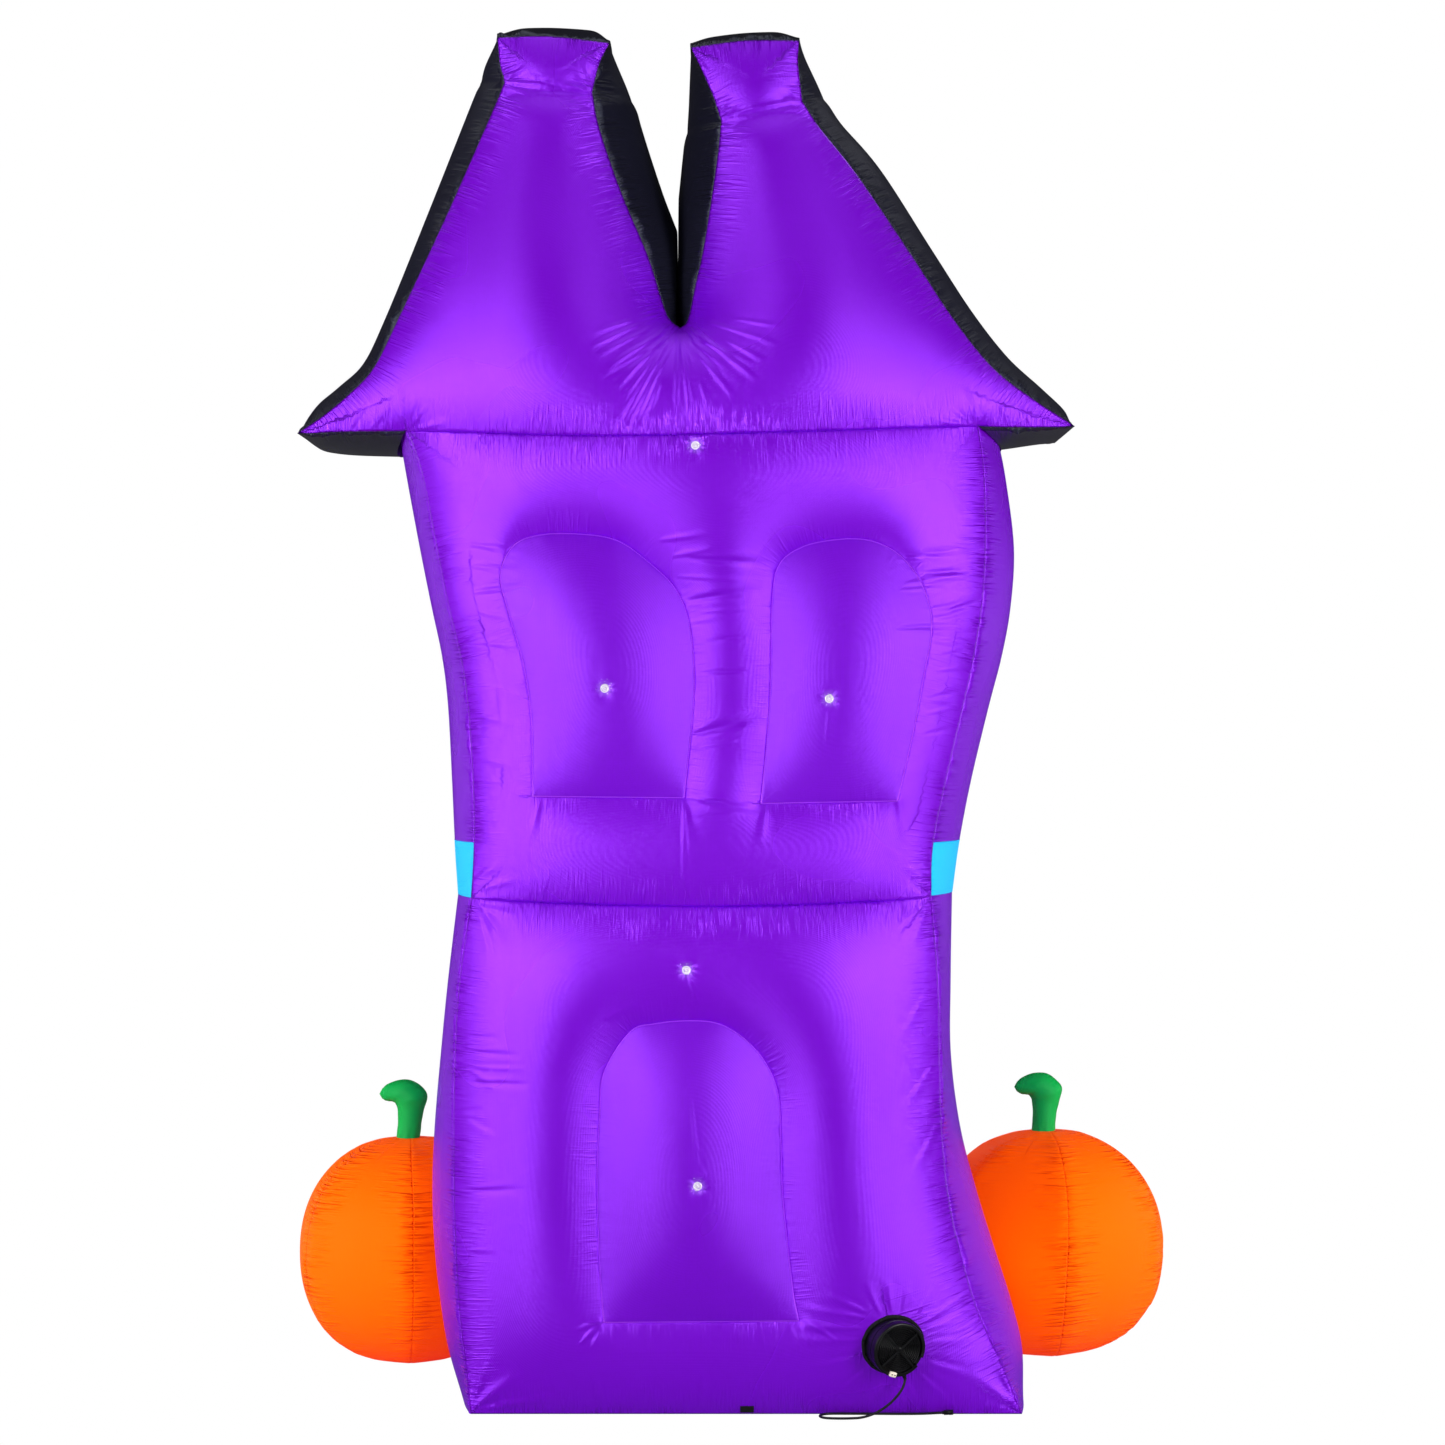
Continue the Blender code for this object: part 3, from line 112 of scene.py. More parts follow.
CORD_DIAMETER = 0.005
CORD_EXIT = (0.307896, -0.263529, 0.093366)
CORD_ROUTE = [CORD_EXIT, (0.310723, -0.260548, 0.082091),
              (0.306, -0.2635, 0.064), (0.287, -0.267, 0.04), (0.259, -0.268, 0.019),
              (0.229, -0.264, 0.007), (0.2, -0.2575, 0.0033), (0.167, -0.2545, 0.0028),
              (0.1515, -0.248, 0.0028), (0.145, -0.2325, 0.0028), (0.1515, -0.217, 0.0028),
              (0.167, -0.2105, 0.0028), (0.195, -0.21, 0.0028), (0.225, -0.2105, 0.0028),
              (0.262, -0.211, 0.0028), (0.305, -0.212, 0.0028), (0.348, -0.214, 0.0036),
              (0.386, -0.216, 0.0058)]
cord_line = smooth_line(CORD_ROUTE, 0.0125)

# %% [markdown]
# ## Working with nodes
# Finishes, the floor and the air round the house are all nets of nodes. A few helpers keep them
# short: each makes one kind of node and takes links and plain values alike.

# %% Node helpers
FLOAT, COLOUR = "NodeSocketFloat", "NodeSocketColor"
MID_GREY = (0.5, 0.5, 0.5, 1.0)


def feed(tree, slots, values):
    """Give named or numbered slots their links or plain values."""
    for key, value in values.items():
        if isinstance(value, bpy.types.NodeSocket):
            tree.links.new(value, slots[key])
        else:
            slots[key].default_value = value


def node(tree, kind, values=None, **options):
    """A new shader node of a kind, with its options set and its inputs fed."""
    made = tree.nodes.new("ShaderNode" + kind)
    for key, value in options.items():
        setattr(made, key, value)
    feed(tree, made.inputs, values or {})
    return made


def joined(tree, operation, *values):
    """A math node on links or plain numbers; gives its output."""
    return node(tree, "Math", dict(enumerate(values)), operation=operation).outputs[0]


def product(tree, first, *others):
    """Links and numbers multiplied together."""
    for value in others:
        first = joined(tree, "MULTIPLY", first, value)
    return first


def ramped(tree, value, low, high, to_low=0.0, to_high=1.0, way="SMOOTHSTEP"):
    """A value moved from one range to another, and held at the ends."""
    return node(tree, "MapRange", {
        "Value": value, "From Min": low, "From Max": high, "To Min": to_low, "To Max": to_high},
        interpolation_type=way).outputs["Result"]


def blended(tree, share, first, second):
    """Two colours mixed by a share."""
    return node(tree, "Mix", {0: share, 6: first, 7: second}, data_type="RGBA",
                clamp_factor=True).outputs[2]


def scaled_colour(tree, colour, gain):
    """A colour made lighter or darker."""
    return node(tree, "VectorMath", {0: colour, "Scale": gain}, operation="SCALE").outputs[0]


def own_place(tree):
    """The object's own coordinates."""
    return node(tree, "TexCoord").outputs["Object"]


def stretched_noise(tree, scale, detail):
    """Noise over the object's own coordinates, stretched by a scale for each axis."""
    fit = node(tree, "Mapping", {"Vector": own_place(tree), "Scale": scale})
    return node(tree, "TexNoise", {
        "Vector": fit.outputs[0], "Scale": 1.0, "Detail": detail}).outputs["Fac"]


def mixed(tree, share, first, second):
    """Two shaders mixed by a share."""
    return node(tree, "MixShader", {0: share, 1: first, 2: second}).outputs[0]


def bumped(tree, height):
    """A normal bent by a height in metres."""
    return node(tree, "Bump", {"Distance": 1.0, "Strength": 1.0, "Height": height}).outputs[0]


def placed_group(tree, group, values):
    """A node group put into a material with its own values; gives its outputs."""
    return node(tree, "Group", values, node_tree=group).outputs


def new_finish(name):
    """A material; gives it, its tree and its shader's slots."""
    finish = bpy.data.materials.new(name)
    finish.use_nodes = True
    return finish, finish.node_tree, finish.node_tree.nodes["Principled BSDF"].inputs


# %% [markdown]
# ## Studio
# Satin cloth shows its shape through broad soft highlights. Two tall light boxes stand in front,
# left and right, so the flanks of every bulge are bright and the middles, which face the camera,
# stay deep in colour. Weaker boxes above, at the sides and behind lift the slopes that those two
# miss. Three of these are kept out of reflections. The floor is plain and pale.

# %% Lights
def soft_box(name, place, target, size, power, in_gloss=True):
    """A rectangular light that looks at a target."""
    lamp = bpy.data.lights.new(name, "AREA")
    lamp.shape = "RECTANGLE"
    lamp.size, lamp.size_y = size
    lamp.energy = power
    box = placed(name, lamp)
    box.location = place
    box.rotation_euler = (Vector(target) - Vector(place)).to_track_quat("-Z", "Y").to_euler()
    box.visible_glossy = in_gloss


for word, hand in (("left", -1), ("right", 1)):
    soft_box(f"box_{word}", (3.25 * hand, -3.55, 1.5), (0.0, 0.0, 1.25), (1.2, 3.4), 160)
soft_box("box_above", (0.0, -1.0, 6.0), (0.0, 0.0, 1.4), (3.5, 3.0), 45)
for word, hand in (("left", -1), ("right", 1)):
    soft_box(f"box_side_{word}", (4.4 * hand, -0.2, 1.1), (0.0, 0.0, 1.1), (2.0, 2.6), 84, in_gloss=False)
    soft_box(f"box_high_{word}", (2.42 * hand, 1.8, 5.0), (0.0, 0.0, 2.2), (0.8, 0.8), 5)
    soft_box(f"box_rim_{word}", (4.4 * hand, 3.2, 1.1), (0.44 * hand, 0.0, 1.1), (1.2, 2.0), 10)
soft_box("box_far", (0.0, 5.2, 1.9), (0.0, 0.0, 1.3), (3.0, 3.0), 90, in_gloss=False)

# %% Floor and air
FLOOR_REACH = 30.0
FLOOR_GREY = (0.6, 0.6, 0.605, 1.0)
FLOOR_IN_GLOSS = 0.1
WHITE = (1.0, 1.0, 1.0, 1.0)
AIR_LIGHT, AIR_IN_GLOSS = 0.07, 0.02

floor_mesh = bpy.data.meshes.new("floor")
floor_mesh.from_pydata([(x * FLOOR_REACH, y * FLOOR_REACH, 0.0)
                        for x, y in ((-1, -1), (1, -1), (1, 1), (-1, 1))], [], [(0, 1, 2, 3)])
floor = placed("floor", floor_mesh)
floor_paint, floor_tree, floor_slots = new_finish("studio_floor")
feed(floor_tree, floor_slots, {"Base Color": FLOOR_GREY, "Roughness": 0.9, "Specular IOR Level": 0.1})
floor_path = node(floor_tree, "LightPath").outputs
floor_glows = [node(floor_tree, "Emission", {"Strength": glow}).outputs[0]
               for glow in (FLOOR_IN_GLOSS, 1.0)]
floor_look = mixed(floor_tree, floor_path["Is Glossy Ray"], floor_tree.nodes["Principled BSDF"].outputs[0],
                   floor_glows[0])
floor_look = mixed(floor_tree, floor_path["Is Camera Ray"], floor_look, floor_glows[1])
feed(floor_tree, floor_tree.nodes["Material Output"].inputs, {"Surface": floor_look})
floor_mesh.materials.append(floor_paint)

air = bpy.data.worlds.new("studio_air")
air.use_nodes = True
bpy.context.scene.world = air
air_tree = air.node_tree
air_path = node(air_tree, "LightPath").outputs
air_dim = air_tree.nodes["Background"]
feed(air_tree, air_dim.inputs, {"Color": WHITE, "Strength": joined(
    air_tree, "MULTIPLY_ADD", air_path["Is Glossy Ray"], AIR_IN_GLOSS - AIR_LIGHT, AIR_LIGHT)})
air_white = node(air_tree, "Background", {"Color": WHITE})
air_look = mixed(air_tree, air_path["Is Camera Ray"], air_dim.outputs[0], air_white.outputs[0])
feed(air_tree, air_tree.nodes["World Output"].inputs, {"Surface": air_look})
bpy.context.scene.view_settings.view_transform = "Standard"
print("studio ready")

# %% [markdown]
# ## Shared surface effects
# Four small node groups serve every cloth here, each with its own values. `woven_threads` makes
# a fine grid of threads for the bump, long streaks where threads differ, and an uneven gloss.
# `sewn_seam` reads two numbers stored at every point of a skin, the distance to the nearest seam and the way
# along it, and draws the stitch holes and the small gathers that a lockstitch pulls into thin cloth.
# `crushed_cloth` adds the soft creases of packed fabric, and the lamp group paints lamp light, bright glints
# and a soft glow, into the crumpled cloth round a lamp.

# %% Start a group
def effect_group(name, inputs, outputs):
    """An empty node group; gives its tree, its given values and the slots for its results."""
    tree = bpy.data.node_groups.new(name, "ShaderNodeTree")
    for label, value in inputs.items():
        kind = COLOUR if isinstance(value, tuple) else FLOAT
        tree.interface.new_socket(label, in_out="INPUT", socket_type=kind).default_value = value
    for label, kind in outputs.items():
        tree.interface.new_socket(label, in_out="OUTPUT", socket_type=kind)
    return tree, tree.nodes.new("NodeGroupInput").outputs, tree.nodes.new("NodeGroupOutput").inputs


# %% Woven threads
def make_woven_threads():
    """Weave, thread streaks and uneven gloss."""
    tree, given, result = effect_group(
        "woven_threads",
        {"Cloth Colour": MID_GREY, "Thread Pitch": 0.0012, "Streak Strength": 0.12, "Gloss Low": 0.36,
         "Gloss High": 0.5},
        {"Colour": COLOUR, "Roughness": FLOAT, "Weave Height": FLOAT})
    turns = joined(tree, "DIVIDE", math.tau, given["Thread Pitch"])
    waves = [joined(tree, "SINE", product(tree, axis, turns))
             for axis in node(tree, "SeparateXYZ", {0: own_place(tree)}).outputs]
    weave = joined(tree, "ADD", joined(tree, "ADD", waves[0], waves[1]), waves[2])
    warp = stretched_noise(tree, (420.0, 420.0, 9.0), 2.0)
    weft = stretched_noise(tree, (9.0, 9.0, 420.0), 2.0)
    slow = stretched_noise(tree, (3.0, 3.0, 3.0), 1.0)
    streak = joined(tree, "ADD", product(tree, warp, 0.7), product(tree, weft, 0.3))
    drift = product(tree, joined(tree, "SUBTRACT", slow, 0.5), 0.5)
    shade = joined(tree, "ADD", joined(tree, "SUBTRACT", streak, 0.5), drift)
    gain = joined(tree, "MULTIPLY_ADD", shade, given["Streak Strength"], 1.0)
    feed(tree, result, {
        "Colour": scaled_colour(tree, given["Cloth Colour"], gain), "Weave Height": weave,
        "Roughness": ramped(tree, slow, 0.2, 0.8, given["Gloss Low"], given["Gloss High"], "LINEAR")})
    return tree


# %% Sewn seam
ARCH_WAY = 20.0
ARCH_WAYS = (32.0, 16.0)
ARCH_CALM = 0.8


def make_sewn_seam():
    """Stitch holes in a row on the seam, and gathers across it that are calmer on an arch."""
    tree, given, result = effect_group(
        "sewn_seam",
        {"Cloth Colour": MID_GREY, "Stitch Colour": (0.1, 0.1, 0.1, 1.0), "Stitch Pitch": 0.004,
         "Stitch Width": 0.0011, "Gather Pitch": 0.0055, "Gather Reach": 0.02},
        {"Colour": COLOUR, "Gather Height": FLOAT, "Stitch Mask": FLOAT})
    off, along = (node(tree, "Attribute", attribute_name=key).outputs["Fac"]
                  for key in ("seam_off", "seam_along"))
    line = ramped(tree, joined(tree, "DIVIDE", off, given["Stitch Width"]), 0.55, 1.0, 1.0, 0.0)
    turn = joined(tree, "DIVIDE", product(tree, along, math.tau), given["Stitch Pitch"])
    mask = product(tree, line, ramped(tree, joined(tree, "SINE", turn), -0.6, 0.1))
    strip = node(tree, "CombineXYZ", {
        "X": joined(tree, "DIVIDE", along, given["Gather Pitch"]),
        "Y": joined(tree, "DIVIDE", off, product(tree, given["Gather Reach"], 3.0))})
    crests = node(tree, "TexNoise", {
        "Vector": strip.outputs[0], "Scale": 1.0, "Detail": 1.5, "Roughness": 0.55})
    crest = ramped(tree, crests.outputs["Fac"], 0.44, 0.7)
    uneven = stretched_noise(tree, (24.0, 24.0, 24.0), 1.0)
    reach = product(tree, given["Gather Reach"], joined(tree, "MULTIPLY_ADD", uneven, 1.6, 0.2))
    fade = joined(tree, "EXPONENT", product(tree, joined(tree, "DIVIDE", off, reach), -1.0))
    patchy = ramped(tree, stretched_noise(tree, (9.0, 9.0, 9.0), 1.0), 0.38, 0.58, 0.25, 1.0)
    on_arch = joined(tree, "COMPARE", along, *ARCH_WAYS)
    calm = joined(tree, "MULTIPLY_ADD", on_arch, -ARCH_CALM, 1.0)
    start = ramped(tree, off, 0.0, 0.003)
    end = ramped(tree, off, 0.05, 0.09, 1.0, 0.0)
    feed(tree, result, {
        "Colour": blended(tree, mask, given["Cloth Colour"], given["Stitch Colour"]),
        "Gather Height": product(tree, crest, fade, patchy, calm, start, end), "Stitch Mask": mask})
    return tree


# %% Crushed cloth
def make_crushed_cloth():
    """Soft creases of fabric that was packed, as a height."""
    tree, given, result = effect_group("crushed_cloth", {"Crease Size": 0.05}, {"Height": FLOAT})
    often = joined(tree, "DIVIDE", 1.0, given["Crease Size"])
    grain = node(tree, "TexNoise", {
        "Vector": own_place(tree), "Scale": often, "Detail": 2.0, "Roughness": 0.5, "Distortion": 0.8})
    feed(tree, result, {"Height": grain.outputs["Fac"]})
    return tree


# %% Lamp flecks
def make_lamp_flecks():
    """Painted lamp light: bright glints and a soft glow painted into the crumpled cloth round a lamp, read
    from `lamp_near`.
    """
    tree, given, result = effect_group(
        "painted_lamp_glow",
        {"Cloth Colour": MID_GREY, "Painted Light Colour": (0.9, 0.8, 1.0, 1.0), "Glow Colour": (0.0, 0.0, 0.0, 1.0),
         "Glint Scale": 330.0},
        {"Colour": COLOUR, "Glow": COLOUR})
    near = node(tree, "Attribute", attribute_name="lamp_near").outputs["Fac"]
    crumple = node(tree, "TexNoise", {
        "Vector": own_place(tree), "Scale": given["Glint Scale"], "Detail": 2.0, "Roughness": 0.6})
    limit = joined(tree, "MULTIPLY_ADD", near, -0.16, 0.72)
    painted_glint = product(tree, joined(tree, "SUBTRACT", crumple.outputs["Fac"], limit), 14.0)
    painted_glint = joined(tree, "MINIMUM", joined(tree, "MAXIMUM", painted_glint, 0.0), 1.0)
    mask = product(tree, painted_glint, ramped(tree, near, 0.0, 0.25))
    pale = joined(tree, "MAXIMUM", mask, product(tree, near, near, 0.24))
    feed(tree, result, {
        "Colour": blended(tree, pale, given["Cloth Colour"], given["Painted Light Colour"]),
        "Glow": blended(tree, product(tree, pale, 0.22), given["Glow Colour"], given["Painted Light Colour"])})
    return tree


painted_lamp_glow = make_lamp_flecks()
woven_threads = make_woven_threads()
sewn_seam = make_sewn_seam()
crushed_cloth = make_crushed_cloth()
print("shared effects:", [group.name for group in bpy.data.node_groups])

# %% [markdown]
# ## Cloth finishes
# All the cloth is the same thin polyester in six dyes. The dye is strong, so the shine is tinted
# too: a pure white highlight would look like plastic. Each finish places the shared groups with
# its own values, and the shader stays in the material.

# %% Cloth finishes
THREAD_HEIGHT = 0.00004
CREASE_HEIGHT = 0.0004
CREASE_SIZE = 0.07
# Colour of the painted lamp light in the cloth round the lenses.
LAMP_LIGHT = (0.92, 0.8, 1.0, 1.0)
# Each dye's glow is painted glow: an emission in the cloth's own colour that stands in for light passing
# through the thin cloth.
DyeAndPaintedGlow = namedtuple("DyeAndPaintedGlow", "colour stitch shine level streaks gloss metal glow")


def cloth_finish(name, dye_and_glow, seam_values=None, gather=0.0011, stitch_depth=0.0006, stitch_painted_light=0.0):
    """Dyed satin polyester with its weave, its seams, its creases and a painted glow."""
    finish, tree, slots = new_finish(name)
    threads = placed_group(tree, woven_threads, {
        "Cloth Colour": (*dye_and_glow.colour, 1.0), "Streak Strength": dye_and_glow.streaks,
        "Gloss Low": dye_and_glow.gloss[0], "Gloss High": dye_and_glow.gloss[1]})
    seam = placed_group(tree, sewn_seam, {
        "Cloth Colour": threads["Colour"], "Stitch Colour": (*dye_and_glow.stitch, 1.0), **(seam_values or {})})
    creases = placed_group(tree, crushed_cloth, {"Crease Size": CREASE_SIZE})
    # Painted light: the stitch line glows in its stitch colour, lifting the shade in the seam's crease.
    painted_stitch_light = product(tree, seam["Stitch Mask"], stitch_painted_light)
    painted_lamp_light = placed_group(tree, painted_lamp_glow, {
        "Cloth Colour": seam["Colour"], "Painted Light Colour": LAMP_LIGHT,
        "Glow Colour": blended(tree, painted_stitch_light, (*dye_and_glow.glow, 1.0), (*dye_and_glow.stitch, 1.0))})
    total = 0.0
    for relief, height in ((threads["Weave Height"], THREAD_HEIGHT), (seam["Gather Height"], gather),
                           (creases["Height"], CREASE_HEIGHT), (seam["Stitch Mask"], -stitch_depth)):
        total = joined(tree, "MULTIPLY_ADD", relief, height, total)
    feed(tree, slots, {
        "Base Color": painted_lamp_light["Colour"], "Emission Color": painted_lamp_light["Glow"], "Emission Strength": 1.0,
        "Roughness": threads["Roughness"], "Normal": bumped(tree, total), "Metallic": dye_and_glow.metal,
        "Specular IOR Level": dye_and_glow.level, "Specular Tint": (*dye_and_glow.shine, 1.0)})
    return finish


purple_cloth = cloth_finish("purple_cloth", DyeAndPaintedGlow(
    (0.228, 0.0012, 0.79), (0.24, 0.01, 0.74), (0.88, 0.58, 0.85), 0.85, 0.16, (0.22, 0.3), 0.38,
    (0.008, 0.0, 0.03)), {"Gather Pitch": 0.0048, "Gather Reach": 0.022, "Stitch Width": 0.0014},
    gather=0.0036, stitch_depth=0.0002, stitch_painted_light=0.04)
# The window and door cloth has a pale stitch colour and a strong stitch glow: a painted highlight along their
# seams.
deep_purple_cloth = cloth_finish("deep_purple_cloth", DyeAndPaintedGlow(
    (0.2, 0.001, 0.72), (0.52, 0.09, 0.88), (0.88, 0.56, 0.85), 0.75, 0.18, (0.26, 0.33), 0.32,
    (0.007, 0.0, 0.025)), {"Stitch Width": 0.0022}, stitch_depth=0.00005, stitch_painted_light=0.34)
black_cloth = cloth_finish("black_cloth", DyeAndPaintedGlow(
    (0.0095, 0.009, 0.0205), (0.002, 0.002, 0.003), (0.74, 0.82, 1.0), 0.65, 0.3, (0.26, 0.34), 0.0,
    (0.0, 0.0, 0.0)), {"Gather Pitch": 0.007, "Gather Reach": 0.045}, gather=0.0042)
blue_cloth = cloth_finish("blue_cloth", DyeAndPaintedGlow(
    (0.004, 0.53, 1.0), (0.0, 0.12, 0.4), (0.5, 0.85, 1.0), 0.7, 0.16, (0.38, 0.48), 0.1,
    (0.0, 0.06, 0.12)))
# The orange's strong glow is painted glow that lifts the red as if light shone through the cloth.
orange_cloth = cloth_finish("orange_cloth", DyeAndPaintedGlow(
    (1.0, 0.168, 0.0003), (0.45, 0.03, 0.0), (1.0, 0.35, 0.02), 0.4, 0.12, (0.42, 0.52), 0.0,
    (0.45, 0.004, 0.0)), {"Gather Pitch": 0.0075, "Gather Reach": 0.028}, gather=0.013)
green_cloth = cloth_finish("green_cloth", DyeAndPaintedGlow(
    (0.002, 0.41, 0.065), (0.0, 0.12, 0.02), (0.45, 1.0, 0.65), 0.4, 0.16, (0.42, 0.54), 0.0,
    (0.0, 0.02, 0.004)))
print("cloth finishes:", [m.name for m in bpy.data.materials if m.name.endswith("cloth")])

# %% [markdown]
# ## Pieces
# Every piece is a mesh made from lists of points and faces. The normals are turned outward, the
# faces are shaded smooth except at true corners, and numbers for the seams and the lamps ride on
# the points, where the finishes can read them. A piece then rides on the house's one body.

# %% Make a piece
def mesh_piece(name, points, faces, finish, marks=None, sharp=52.0, normals=None):
    """A named object from points and faces, finished and riding on the house."""
    data = bpy.data.meshes.new(name)
    data.from_pydata([tuple(map(float, point)) for point in points], [],
                     [tuple(map(int, face)) for face in faces])
    work = bmesh.new()
    work.from_mesh(data)
    bmesh.ops.recalc_face_normals(work, faces=work.faces)
    work.to_mesh(data)
    work.free()
    for key, values in (marks or {}).items():
        data.attributes.new(key, "FLOAT", "POINT").data.foreach_set("value", np.array(values, np.float32))
    data.shade_smooth()
    data.set_sharp_from_angle(angle=math.radians(sharp))
    if normals is not None:
        data.normals_split_custom_set_from_vertices(normals)
    data.materials.append(finish)
    piece = placed(name, data)
    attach(piece, "root")
    return piece


def cloth_piece(name, points, faces, finish, node_names, marks, **shading):
    """A piece of air-filled cloth that stands for nodes of the solid model."""
    piece = mesh_piece(name, points, faces, finish, marks, **shading)
    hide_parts(*node_names)


def grid_faces(rows, columns, round_rows=False, round_columns=False):
    """The point numbers and the faces of a grid, closed where it goes round."""
    number = np.arange(rows * columns).reshape(rows, columns)
    wide = np.hstack([number, number[:, :1]]) if round_columns else number
    tall = np.vstack([wide, wide[:1]]) if round_rows else wide
    faces = np.stack([tall[:-1, :-1], tall[:-1, 1:], tall[1:, 1:], tall[1:, :-1]], axis=-1)
    return number, [tuple(face) for face in faces.reshape(-1, 4)]


# %% [markdown]
# ## Seams of the house
# A panel's shape comes from its seams. These are the lines where the cloth is sewn: the roof's
# outline, the level seams between the storeys, the two side seams, and the arches of the windows
# and the door. Each roof point also says how far the gusset swells there, and each row of the body
# gives a height, the left and the right seam, and the gusset's swell at each.

# %% Seam lines
HALF_DEPTH = 0.2
SEAM_PLANE = 0.2003
LEFT_EAVE = [(-0.672, 1.942, 0.034), (-0.8, 1.941, 0.029), (-0.854, 1.938, 0.019),
             (-0.874, 1.938, 0.01), (-0.887, 1.938, 0.0)]
LEFT_SLOPE = [(-0.887, 1.938, 0.0), (-0.872, 1.947, 0.03), (-0.836, 1.972, 0.049), (-0.792, 2.008, 0.05),
              (-0.737, 2.065, 0.047), (-0.688, 2.162, 0.048), (-0.585, 2.383, 0.061),
              (-0.488, 2.604, 0.07), (-0.478, 2.638, 0.066)]
LEFT_NECK = [(-0.478, 2.638, 0.066), (-0.486, 2.668, 0.06), (-0.491, 2.72, 0.034)]
LEFT_TOP = [(-0.491, 2.72, 0.05), (-0.385, 2.722, 0.05), (-0.27, 2.709, 0.056)]
LEFT_INNER_NECK = [(-0.27, 2.709, 0.036), (-0.29, 2.668, 0.067), (-0.304, 2.612, 0.084)]
NOTCH_LEFT = [(-0.304, 2.612, 0.082), (-0.29, 2.541, 0.086), (-0.247, 2.415, 0.084),
              (-0.194, 2.288, 0.078), (-0.164, 2.193, 0.064), (-0.15, 2.162, 0.04), (-0.13, 2.146, 0.0)]
NOTCH_RIGHT = [(-0.13, 2.146, 0.0), (-0.115, 2.162, 0.034), (-0.101, 2.225, 0.056),
               (-0.081, 2.32, 0.066), (-0.057, 2.478, 0.074), (-0.049, 2.555, 0.074)]
RIGHT_INNER_NECK = [(-0.049, 2.555, 0.076), (-0.065, 2.604, 0.066), (-0.093, 2.668, 0.045),
                    (-0.109, 2.7, 0.022)]
RIGHT_TOP = [(-0.109, 2.7, 0.047), (-0.002, 2.714, 0.047), (0.105, 2.714, 0.051)]
RIGHT_NECK = [(0.105, 2.714, 0.032), (0.103, 2.668, 0.053), (0.111, 2.594, 0.067)]
RIGHT_SLOPE = [(0.111, 2.594, 0.064), (0.146, 2.541, 0.063), (0.221, 2.446, 0.068),
               (0.328, 2.288, 0.063), (0.411, 2.162, 0.062), (0.488, 2.067, 0.06),
               (0.569, 2.004, 0.051), (0.618, 1.972, 0.04), (0.637, 1.96, 0.026),
               (0.65, 1.952, 0.0)]
RIGHT_EAVE = [(0.65, 1.952, 0.0), (0.637, 1.951, 0.007), (0.599, 1.95, 0.014), (0.52, 1.95, 0.027),
              (0.459, 1.952, 0.034)]
ROOF_RUNS = [LEFT_EAVE, LEFT_SLOPE, LEFT_NECK, LEFT_TOP, LEFT_INNER_NECK, NOTCH_LEFT,
             NOTCH_RIGHT, RIGHT_INNER_NECK, RIGHT_TOP, RIGHT_NECK, RIGHT_SLOPE, RIGHT_EAVE]
CORNER_SWELLS = {(-0.491, 2.72): (-0.005, 0.033), (-0.27, 2.709): (-0.006, 0.031),
                 (-0.109, 2.7): (-0.001, 0.038), (0.105, 2.714): (0.003, 0.032)}
ROOF_SEAM = [(-0.672, 1.942), (-0.522, 1.934), (-0.401, 1.928), (-0.272, 1.925), (-0.1, 1.927),
             (0.164, 1.936), (0.325, 1.944), (0.459, 1.952)]
STOREY_SEAM = [(-0.543, 1.02), (-0.437, 1.014), (-0.312, 1.01), (-0.113, 1.006), (0.022, 1.007),
               (0.188, 1.012), (0.312, 1.018), (0.366, 1.024)]
NECK_CREASES = [[(-0.47, 2.628), (-0.415, 2.614), (-0.312, 2.611)],
                [(-0.036, 2.56), (0.045, 2.572), (0.104, 2.59)]]
LOWER_ROWS = [
    (0.0, -0.544, 0.545, 0.027, 0.017), (0.1, -0.555, 0.506, 0.048, 0.056),
    (0.2, -0.566, 0.46, 0.054, 0.078), (0.3, -0.573, 0.429, 0.058, 0.077),
    (0.42, -0.577, 0.402, 0.059, 0.067), (0.55, -0.578, 0.388, 0.053, 0.048),
    (0.7, -0.576, 0.383, 0.042, 0.034), (0.85, -0.567, 0.38, 0.036, 0.037),
    (1.02, -0.543, 0.366, 0.04, 0.054)]
UPPER_ROWS = [
    (1.02, -0.543, 0.366, 0.04, 0.054), (1.12, -0.538, 0.369, 0.052, 0.065),
    (1.25, -0.54, 0.395, 0.056, 0.064), (1.4, -0.55, 0.43, 0.054, 0.065),
    (1.5, -0.565, 0.451, 0.051, 0.07), (1.6, -0.589, 0.467, 0.048, 0.072),
    (1.72, -0.613, 0.474, 0.048, 0.072), (1.86, -0.641, 0.471, 0.046, 0.058),
    (1.95, -0.672, 0.459, 0.03, 0.052)]
WINDOW_LEFT = [(-0.419, 1.221), (-0.421, 1.367), (-0.437, 1.48), (-0.465, 1.577), (-0.482, 1.655),
               (-0.456, 1.714), (-0.401, 1.735), (-0.32, 1.736), (-0.251, 1.723), (-0.192, 1.682),
               (-0.142, 1.634), (-0.115, 1.577), (-0.103, 1.496), (-0.103, 1.399), (-0.121, 1.218)]
WINDOW_RIGHT = [(0.028, 1.207), (0.039, 1.32), (0.047, 1.441), (0.05, 1.6), (0.063, 1.674),
                (0.107, 1.71), (0.172, 1.725), (0.237, 1.725), (0.292, 1.702), (0.333, 1.658),
                (0.358, 1.601), (0.364, 1.545), (0.35, 1.464), (0.329, 1.352), (0.297, 1.212)]
